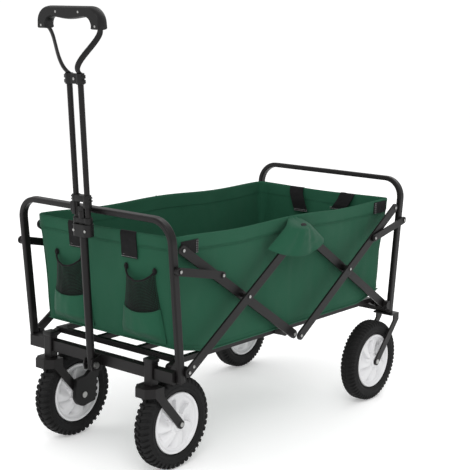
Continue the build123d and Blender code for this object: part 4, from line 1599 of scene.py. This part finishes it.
@dataclass
class Rim:
    """A white moulded rim with shallow turbine petals on both faces."""

    node: str
    body: str
    outer: float = 0.0662
    petals: int = 7
    depth: float = 0.0086

    def face(self, radius: float) -> float:
        """Half thickness of the rim at a radius, before its petals."""
        stations = ((0.0062, 0.0222), (0.0125, 0.0222), (0.0142, 0.0212), (0.0150, 0.0170),
                    (0.0175, 0.0158), (0.0200, 0.0170), (0.0520, 0.0112), (0.0555, 0.0104),
                    (0.0583, 0.0118), (0.0606, 0.0158), (0.0631, 0.0172), (0.0650, 0.0168),
                    (0.0662, 0.0150))
        for (r0, x0), (r1, x1) in zip(stations, stations[1:]):
            if radius <= r1:
                return mix(x0, x1, (radius - r0) / (r1 - r0))
        return stations[-1][1]

    def build(self) -> bpy.types.Object:
        """Makes the rim."""
        low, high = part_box(self.node)
        centre = (low + high) / 2
        marks = [0.0062, 0.0100, 0.0125, 0.0136, 0.0142, 0.0146, 0.0150, 0.0162, 0.0175, 0.0188]
        marks += [0.0200 + 0.0320 * i / 18 for i in range(19)]
        marks += [0.0538, 0.0555, 0.0569, 0.0583, 0.0594, 0.0606, 0.0618, 0.0631, 0.0642, 0.0650,
                  0.0657, 0.0662]
        section = [(self.face(r), r) for r in marks] + [(-self.face(r), r) for r in reversed(marks)]
        rim = Bench.ring(self.node + "_disc", section, centre, 7 * 26)
        for vertex in rim.data.vertices:
            away = vertex.co - centre
            radius = math.hypot(away.y, away.z)
            if 0.019 < radius < 0.0555:
                facing = math.copysign(1.0, away.x)
                turn = math.atan2(away.z, away.y * facing) / math.tau
                share = (turn * self.petals + (radius - 0.02) * 9.0) % 1.0
                ramp = ease(share / 0.05) * (1 - ease((share - 0.10) / 0.62))
                span = ease((radius - 0.019) / 0.005) * (1 - ease((radius - 0.0465) / 0.008))
                vertex.co.x -= facing * self.depth * ramp * span
        Bench.dress(rim, RIM_WHITE, self.body, 30)
        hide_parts(self.node)
        return rim


# ---------------------------------------------------------------- hardware


def islands(node: str) -> List[Tuple[Vector, Vector]]:
    """Box of each separate solid in a CAD node.

    Args:
        node: The node's name.

    Returns:
        Lowest and highest corner of each solid.
    """
    mesh = bmesh.new()
    mesh.from_mesh(frame["nodes"][node].data)
    bmesh.ops.remove_doubles(mesh, verts=mesh.verts, dist=1e-5)
    left = set(mesh.verts)
    found = []
    while left:
        stack = [left.pop()]
        corners = []
        while stack:
            vertex = stack.pop()
            corners.append(vertex.co.copy())
            for edge in vertex.link_edges:
                other = edge.other_vert(vertex)
                if other in left:
                    left.remove(other)
                    stack.append(other)
        low = Vector(tuple(min(c[i] for c in corners) for i in range(3)))
        high = Vector(tuple(max(c[i] for c in corners) for i in range(3)))
        found.append((low, high))
    mesh.free()
    return sorted(found, key=lambda box: tuple(round(v, 4) for v in box[0]))


def body_of(node: str) -> str:
    """Body that a CAD node belongs to."""
    for body, nodes in frame["record"]["behaviour"]["bodies"].items():
        if node in nodes:
            return body
    raise KeyError(node)


@dataclass(frozen=True)
class Head:
    """A small domed fastener head with a seat ring and a driver dimple."""

    radius: float = 0.0031
    rise: float = 0.0016

    def make(self, place: Vector, out: Vector) -> bpy.types.Object:
        """Makes one head.

        Args:
            place: Middle of the surface that it sits on.
            out: Direction that it faces.

        Returns:
            The head.
        """
        steps = 7
        profile = [(0.0, -0.0006), (self.radius * 1.12, -0.0006), (self.radius * 1.12, 0.0003)]
        profile += [(self.radius * math.cos(i / steps * math.pi / 2),
                     0.0003 + self.rise * math.sin(i / steps * math.pi / 2))
                    for i in range(steps - 1)]
        profile += [(self.radius * 0.20, self.rise), (0.0, self.rise * 0.72)]
        section = [(radius, 0, up) for radius, up in profile]
        piece = Bench.lathe("head", section, (0, 0, 0), (0, 0, 1), 20)
        turn = Vector((0, 0, 1)).rotation_difference(out).to_matrix().to_4x4()
        piece.data.transform(Matrix.Translation(place) @ turn)
        return piece

    def row(self, name: str, body: str,
            seats: Sequence[Tuple[Vector, Vector]]) -> bpy.types.Object:
        """Makes heads at several places as one steel piece.

        Args:
            name: The piece's name.
            body: The body it rides on.
            seats: Place and facing direction of each head.

        Returns:
            The piece.
        """
        piece = Bench.join([self.make(place, out) for place, out in seats], name)
        return Bench.dress(piece, STEEL, body, 40)


@dataclass
class Rivets:
    """Painted barrels with small domed heads, in place of a node's plain pins."""

    node: str
    spacer_radius: float = 0.0076
    gap: Tuple[float, float] = (0.2124, 0.2257)
    stud: Tuple[float, float] = (0.2253, 0.2321)

    def barrel(self, low: Vector, high: Vector) -> List[bpy.types.Object]:
        """A pin and the spacer between the parts that it joins."""
        y, z = (low.y + high.y) / 2, (low.z + high.z) / 2
        pin = Bench.rod("pin", (low.x + 0.0012, y, z), (high.x - 0.0012, y, z), 0.0042, 24,
                        0.0003, 1)
        near, far = sorted((abs(low.x), abs(high.x)))
        side = math.copysign(1.0, low.x)
        parts = [pin]
        for start, end in (self.gap, self.stud):
            if near <= start + 0.0006 and far >= end + 0.002 and high.z - low.z > 0.0155:
                parts.append(Bench.rod("spacer", (side * start, y, z), (side * end, y, z),
                                       self.spacer_radius, 32, 0.0005, 2))
        return parts

    def build(self) -> List[bpy.types.Object]:
        """Makes the node's barrels and heads."""
        body = body_of(self.node)
        parts: List[bpy.types.Object] = []
        seats: List[Tuple[Vector, Vector]] = []
        for low, high in islands(self.node):
            parts += self.barrel(low, high)
            y, z = (low.y + high.y) / 2, (low.z + high.z) / 2
            seats += [(Vector((low.x + 0.0014, y, z)), Vector((-1, 0, 0))),
                      (Vector((high.x - 0.0014, y, z)), Vector((1, 0, 0)))]
        barrels = Bench.dress(Bench.join(parts, f"{self.node}_barrels"), PAINT, body, 40)
        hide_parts(self.node)
        return [barrels, Head().row(f"{self.node}_heads", body, seats)]


@dataclass
class LooseHeads:
    """Rivet heads that show on the links and near the lower ends of the outer bars."""

    link_in: float = 0.095
    link_z: float = 0.418
    link_face: float = 0.2386
    step: float = 0.017

    def build(self) -> List[bpy.types.Object]:
        """Makes the heads of both ends."""
        made = []
        ends = ((End.FRONT, LAYOUT.front_y + self.link_in),
                (End.REAR, LAYOUT.rear_y - self.link_in))
        for end, y in ends:
            seats = [(Vector((side.value * self.link_face, y, self.link_z)),
                      Vector((side.value, 0, 0))) for side in Side]
            made.append(Head().row(f"{end.word}_link_heads", body_of(f"{end.word}_links"), seats))
        foot = Vector((0, LAYOUT.front_y, LAYOUT.pivot_z))
        along = (Vector((0, LAYOUT.mid_y, LAYOUT.pivot_z + LAYOUT.rise)) - foot).normalized()
        face = LAYOUT.outer_face + 0.0001
        seats = [(Vector((side.value * face, 0, 0)) + foot + along * self.step,
                  Vector((side.value, 0, 0))) for side in Side]
        made.append(Head().row("front_bar_foot_heads", Body.FRONT_OUTER.value, seats))
        return made


@dataclass
class PostCaps:
    """Moulded caps on the tops of the two caster posts."""

    lip: float = 0.0015
    skirt: float = 0.0080
    crown: float = 0.0015

    def build(self) -> bpy.types.Object:
        """Makes both caps."""
        caps = []
        for low, high in islands("caster_housings"):
            corners = ((low.x, low.y), (high.x, low.y), (high.x, high.y), (low.x, high.y))
            middle = (low + high) / 2
            ring = [Vector((x + math.copysign(self.lip, x - middle.x),
                            y + math.copysign(self.lip, y - middle.y), high.z - self.skirt))
                    for x, y in corners]
            caps.append(Bench.plate("cap", ring, (0, 0, self.skirt + self.crown), 0.0022, 3))
        return Bench.dress(Bench.join(caps, "caster_post_caps"), PLASTIC, Body.FRONT.value, 40)


@dataclass
class PullHandle:
    """The moulded grip, clamp, latch and screws of the pull handle."""

    lean: float = math.radians(4.0)
    leg_x: float = 0.016
    grip_low: float = 0.696
    grip_top: float = 0.741
    grip_half: float = 0.0885
    arm: float = 0.0250
    corner: float = 0.0330
    bar: float = 0.0215
    belly: float = 0.0045
    depth: float = 0.0125
    socket: float = 0.0090
    latch_deep: float = 0.0085

    def at(self, x: float, along: float, out: float) -> Vector:
        """Point of the handle.

        Args:
            x: Place across.
            along: Distance up the handle from its pivot.
            out: Distance toward the puller.

        Returns:
            The point in the frame.
        """
        pivot = LAYOUT.place("handle_pivot")
        c, n = math.cos(self.lean), math.sin(self.lean)
        return Vector((x, pivot.y - along * n - out * c, pivot.z + along * c - out * n))

    @property
    def facing(self) -> Vector:
        """Direction toward the puller."""
        return self.at(0, 0, 1) - self.at(0, 0, 0)

    def rise(self, length: float) -> Vector:
        """A length up the handle, as a direction."""
        return self.at(0, length, 0) - self.at(0, 0, 0)

    @staticmethod
    def quarter(x: float, u: float, radius: float, start: float,
                steps: int) -> List[Tuple[float, float]]:
        """Points of a quarter arc.

        Args:
            x: Its centre, across.
            u: Its centre, along the handle.
            radius: Its radius.
            start: Its first angle.
            steps: Steps along it; negative runs clockwise.

        Returns:
            The points.
        """
        turns = [start + math.copysign(i / abs(steps) * math.pi / 2, steps)
                 for i in range(abs(steps) + 1)]
        return [(x + radius * math.cos(t), u + radius * math.sin(t)) for t in turns]

    def outline(self) -> List[Tuple[float, float]]:
        """Outline of the grip as a rounded D, anticlockwise from its right foot."""
        inner = self.grip_half - self.arm
        r, small = self.corner, self.corner - 0.016
        points = [(inner + 0.001, self.grip_low), (self.grip_half - 0.001, self.grip_low)]
        top = self.grip_top - r
        points += self.quarter(self.grip_half - r, top, r, 0.0, 12)
        points += self.quarter(-self.grip_half + r, top, r, math.pi / 2, 12)
        points += [(-self.grip_half + 0.001, self.grip_low), (-inner - 0.001, self.grip_low)]
        under = self.grip_top - self.bar
        points += self.quarter(-inner + small, under - small, small, math.pi, -7)
        reach = inner - small
        for i in range(1, 14):
            x = -reach + 2 * reach * i / 14
            points.append((x, under - self.belly * math.cos(x / reach * math.pi / 2) ** 1.5))
        points += self.quarter(inner - small, under - small, small, math.pi / 2, -7)
        return points

    def shell(self, name: str, near: float) -> bpy.types.Object:
        """Half of the grip, full at the parting line and crowned toward its face.

        Args:
            name: Its name.
            near: Where its back layer lies, out from the middle.

        Returns:
            The half shell.
        """
        outline = self.outline()
        layers = 6
        step = self.facing * ((self.depth - 0.0001) / layers)
        shell = Bench.plate(name, [self.at(x, u, near) for x, u in outline], step)
        Bench.only(shell)
        bpy.ops.object.mode_set(mode="EDIT")
        bpy.ops.mesh.select_all(action="DESELECT")
        bpy.ops.object.mode_set(mode="OBJECT")
        last = max(shell.data.polygons,
                   key=lambda f: (len(f.vertices), f.center.dot(self.facing)))
        last.select = True
        bpy.ops.object.mode_set(mode="EDIT")
        for _ in range(layers - 1):
            bpy.ops.mesh.extrude_region_move(TRANSFORM_OT_translate={"value": step})
        bpy.ops.mesh.select_all(action="SELECT")
        bpy.ops.mesh.normals_make_consistent(inside=False)
        bpy.ops.object.mode_set(mode="OBJECT")
        origin = self.at(0, 0, 0)
        up = self.at(0, 1, 0) - origin
        count = len(outline)
        for vertex in shell.data.vertices:
            away = vertex.co - origin
            x, u, out = away.x, away.dot(up), abs(away.dot(self.facing))
            near_at = min(range(count), key=lambda i: ((outline[i][0] - x) ** 2
                                                       + (outline[i][1] - u) ** 2))
            (ax, au), (bx, bu) = outline[near_at - 1], outline[(near_at + 1) % count]
            inward = Vector((au - bu, bx - ax)).normalized()
            inset = 0.0038 * (1 - math.sqrt(max(1 - (out / self.depth) ** 2 * 0.96, 0.0)))
            vertex.co += Vector((1, 0, 0)) * inward.x * inset + up * inward.y * inset
        return shell

    def grip(self) -> List[bpy.types.Object]:
        """Makes the grip's two shells, which meet at a fine parting line, and its screws."""
        shells = []
        for name, near in (("grip_front_shell", 0.0001), ("grip_back_shell", -self.depth)):
            shell = self.shell(name, near)
            Bench.dress(shell, PLASTIC, body_of("grip"), 50)
            shells.append(shell)
        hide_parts("grip")
        face = self.depth - 0.0010
        spots = ((-0.032, 0.7300), (0.032, 0.7300), (-0.0765, 0.7030), (0.0765, 0.7030))
        seats = [(self.at(x, u, face), self.facing) for x, u in spots]
        return [*shells, Head(0.0027, 0.0014).row("grip_screws", body_of("grip"), seats)]

    def bracket(self, name: str, low: float, high: float, web: float, sleeve: float,
                ears: bool) -> List[bpy.types.Object]:
        """Two round sockets on the twin tubes and the web between them.

        Args:
            name: Name of its parts.
            low: Lower end along the handle.
            high: Upper end along the handle.
            web: Half depth of the web.
            sleeve: Radius of the sockets.
            ears: Whether it has outer ribs.

        Returns:
            Its parts, not yet joined.
        """
        parts = []
        for x in (-self.leg_x, self.leg_x):
            parts.append(Bench.rod(name, self.at(x, low, 0), self.at(x, high, 0), sleeve, 36,
                                   0.0009, 2))
            if ears:
                edge = math.copysign(sleeve, x)
                for start in (low + 0.002, (low + high) / 2 + 0.001):
                    foot = [self.at(x + edge * share, start, out) for share, out in (
                        (0.7, 0.005), (1.32, 0.004), (1.32, -0.004), (0.7, -0.005))]
                    rise = self.rise((high - low) / 2 - 0.004)
                    parts.append(Bench.plate(name, foot, rise, 0.0006, 2))
        flat = [self.at(-self.leg_x, low + 0.001, web), self.at(self.leg_x, low + 0.001, web),
                self.at(self.leg_x, low + 0.001, -web), self.at(-self.leg_x, low + 0.001, -web)]
        parts.append(Bench.plate(name, flat, self.rise(high - low - 0.002), 0.0008, 2))
        return parts

    def build(self) -> List[bpy.types.Object]:
        """Makes the handle's moulded parts and their screws."""
        made = self.grip()
        clamp = Bench.join(self.bracket("clamp", 0.588, 0.610, 0.0055, 0.0086, True),
                           "upper_clamp_bracket")
        Bench.dress(clamp, PLASTIC, body_of("upper_clamp"), 40)
        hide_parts("upper_clamp")
        parts = self.bracket("latch", 0.3495, 0.364, self.latch_deep, self.socket, True)
        parts.append(Bench.rod("latch", self.at(self.leg_x, 0.338, 0),
                               self.at(self.leg_x, 0.352, 0), self.socket, 36, 0.0009, 2))
        boss = [self.at(x, 0.3225, d) for x, d in ((-0.0230, 0.008), (-0.0140, 0.008),
                                                   (-0.0140, -0.008), (-0.0230, -0.008))]
        parts.append(Bench.plate("latch", boss, self.rise(0.028), 0.0006, 2))
        parts += self.bracket("latch", 0.304, 0.317, self.latch_deep, self.socket, False)
        spine = [self.at(x, 0.315, d) for x, d in ((-0.009, 0.006), (0.009, 0.006), (0.009, -0.011),
                                                  (-0.009, -0.011))]
        parts.append(Bench.plate("latch", spine, self.rise(0.025), 0.0008, 2))
        latch = Bench.join(parts, "latch_sleeve_body")
        Bench.dress(latch, PLASTIC, body_of("latch_sleeve"), 40)
        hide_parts("latch_sleeve")
        out = self.facing
        head = Head(0.0027, 0.0014)
        made += [clamp, latch,
                 head.row("upper_clamp_screw", body_of("upper_clamp"),
                          [(self.at(0.002, 0.599, 0.0055), out)]),
                 head.row("latch_screw", body_of("latch_sleeve"),
                          [(self.at(0, 0.327, 0.0060), out)]),
                 head.row("slide_collar_screws", body_of("slide_collar"),
                          [(self.at(x, 0.2905, 0.0126), out) for x in (-0.0165, 0.0165)])]
        return made


@dataclass
class Hardware:
    """Nodes that keep their CAD shape and get a finish by their material slot."""

    def dress(self) -> int:
        """Gives every shown CAD node its finish.

        Returns:
            How many nodes were dressed.
        """
        by_slot = {f.slot.value: f for f in (PAINT, STEEL, PLASTIC, RUBBER, RIM_WHITE, GREEN)}
        by_slot[Slot.WEB.value] = BLACK_WEB
        by_slot[Slot.BOARD.value] = BOARD
        for row in frame["record"]["subparts"]:
            node = frame["nodes"][row["node"]]
            finish = by_slot[row["material_slot"]]
            if not node.material_slots:
                node.data.materials.append(None)
            for slot in node.material_slots:
                slot.material = finish.material()
        return len(frame["record"]["subparts"])


# ---------------------------------------------------------------- studio


@dataclass
class Studio:
    """Pale floor, soft lights and the camera."""

    azimuth: float = 39.17
    pitch: float = 10.71
    roll: float = 1.09
    eye: Point = (1.7430, -2.0689, 0.9486)
    lens: float = 90.64

    def camera(self) -> None:
        """Makes the camera at its viewing angle."""
        a, p, r = (math.radians(v) for v in (self.azimuth, self.pitch, self.roll))
        forward = Vector((-math.sin(a) * math.cos(p), math.cos(a) * math.cos(p), -math.sin(p)))
        right = Vector((math.cos(a), math.sin(a), 0))
        up = right.cross(forward)
        right, up = right * math.cos(r) + up * math.sin(r), up * math.cos(r) - right * math.sin(r)
        data = bpy.data.cameras.new("camera")
        data.lens = self.lens
        data.sensor_width = 36.0
        data.clip_end = 50.0
        camera = bpy.data.objects.new("camera", data)
        bpy.context.scene.collection.objects.link(camera)
        turn = Matrix((right, up, -forward)).transposed().to_4x4()
        camera.matrix_world = Matrix.Translation(Vector(self.eye)) @ turn
        bpy.context.scene.camera = camera

    def lamp(self, name: str, place: Point, size: float, power: float) -> None:
        """Adds a soft square lamp that faces the wagon.

        Args:
            name: Its name.
            place: Where it stands.
            size: Its side in metres.
            power: Its power in watts.
        """
        data = bpy.data.lights.new(name, "AREA")
        data.size = size
        data.energy = power
        lamp = bpy.data.objects.new(name, data)
        bpy.context.scene.collection.objects.link(lamp)
        lamp.location = place
        aim = Vector((0, 0.03, 0.3)) - Vector(place)
        lamp.rotation_euler = aim.to_track_quat("-Z", "Y").to_euler()

    def floor(self) -> None:
        """Makes the pale floor."""
        Bench.clear()
        bpy.ops.mesh.primitive_plane_add(size=40.0, location=(0, 0, -0.0002))
        floor = Bench.settle(bpy.context.object, "studio_floor")
        material = bpy.data.materials.new("studio floor")
        material.use_nodes = True
        shader = material.node_tree.nodes["Principled BSDF"]
        shader.inputs["Base Color"].default_value = (0.93, 0.93, 0.93, 1)
        shader.inputs["Roughness"].default_value = 0.9
        shader.inputs["Specular IOR Level"].default_value = 0.0
        shader.inputs["Emission Color"].default_value = (1, 1, 1, 1)
        shader.inputs["Emission Strength"].default_value = 0.27
        floor.data.materials.append(material)

    def build(self) -> None:
        """Makes the whole studio."""
        self.camera()
        self.floor()
        self.lamp("key", (2.2, -2.6, 3.2), 2.2, 62.0)
        self.lamp("fill", (-3.0, -1.5, 2.2), 3.0, 20.0)
        self.lamp("back", (-0.5, 3.0, 3.0), 2.5, 34.0)
        world = bpy.data.worlds.new("studio")
        world.use_nodes = True
        sky = world.node_tree.nodes["Background"]
        sky.inputs["Color"].default_value = (1, 1, 1, 1)
        sky.inputs["Strength"].default_value = 0.80
        backdrop = world.node_tree.nodes.new("ShaderNodeBackground")
        backdrop.inputs["Color"].default_value = (1, 1, 1, 1)
        backdrop.inputs["Strength"].default_value = 1.05
        path = world.node_tree.nodes.new("ShaderNodeLightPath")
        either = world.node_tree.nodes.new("ShaderNodeMixShader")
        links = world.node_tree.links
        links.new(path.outputs["Is Camera Ray"], either.inputs["Fac"])
        links.new(sky.outputs["Background"], either.inputs[1])
        links.new(backdrop.outputs["Background"], either.inputs[2])
        links.new(either.outputs["Shader"], world.node_tree.nodes["World Output"].inputs["Surface"])
        bpy.context.scene.world = world
        bpy.context.scene.view_settings.view_transform = "Standard"


def main() -> None:
    """Builds the wagon's looks round the frame and logs each piece."""
    logging.basicConfig(level=logging.INFO, format="%(message)s")
    Studio().build()
    made: List[bpy.types.Object] = []
    count = Hardware().dress()
    LOG.info("dressed %d frame nodes", count)
    tub = Tub()
    made += tub.build()
    for side in Side:
        made += CupPocket(Panel(tub, End.FRONT), side).build()
        made += SideFlap(tub, side).build()
        for place, tread in (("caster", Tread.CHUNKY), ("rear", Tread.FINE)):
            body = f"{side.word}_{place}_wheel"
            made.append(Tyre(f"{side.word}_{place}_tyre", body, tread).build())
            made.append(Rim(f"{side.word}_{place}_rim", body).build())
    made += Webbing(tub).build()
    made += FloorBoard("front_floor_board", Body.FLOOR_FRONT).build()
    made += FloorBoard("rear_floor_board", Body.FLOOR_REAR).build()
    for node in ("front_outer_rivets", "front_inner_rivets", "rear_inner_rivets",
                 "rear_outer_rivets", "front_pivot_bolts", "rear_pivot_bolts"):
        made += Rivets(node).build()
    made += LooseHeads().build()
    made.append(PostCaps().build())
    made += PullHandle().build()
    for piece in made:
        LOG.info("piece %s: %d faces", piece.name, len(piece.data.polygons))


if __name__ == "__main__":
    main()
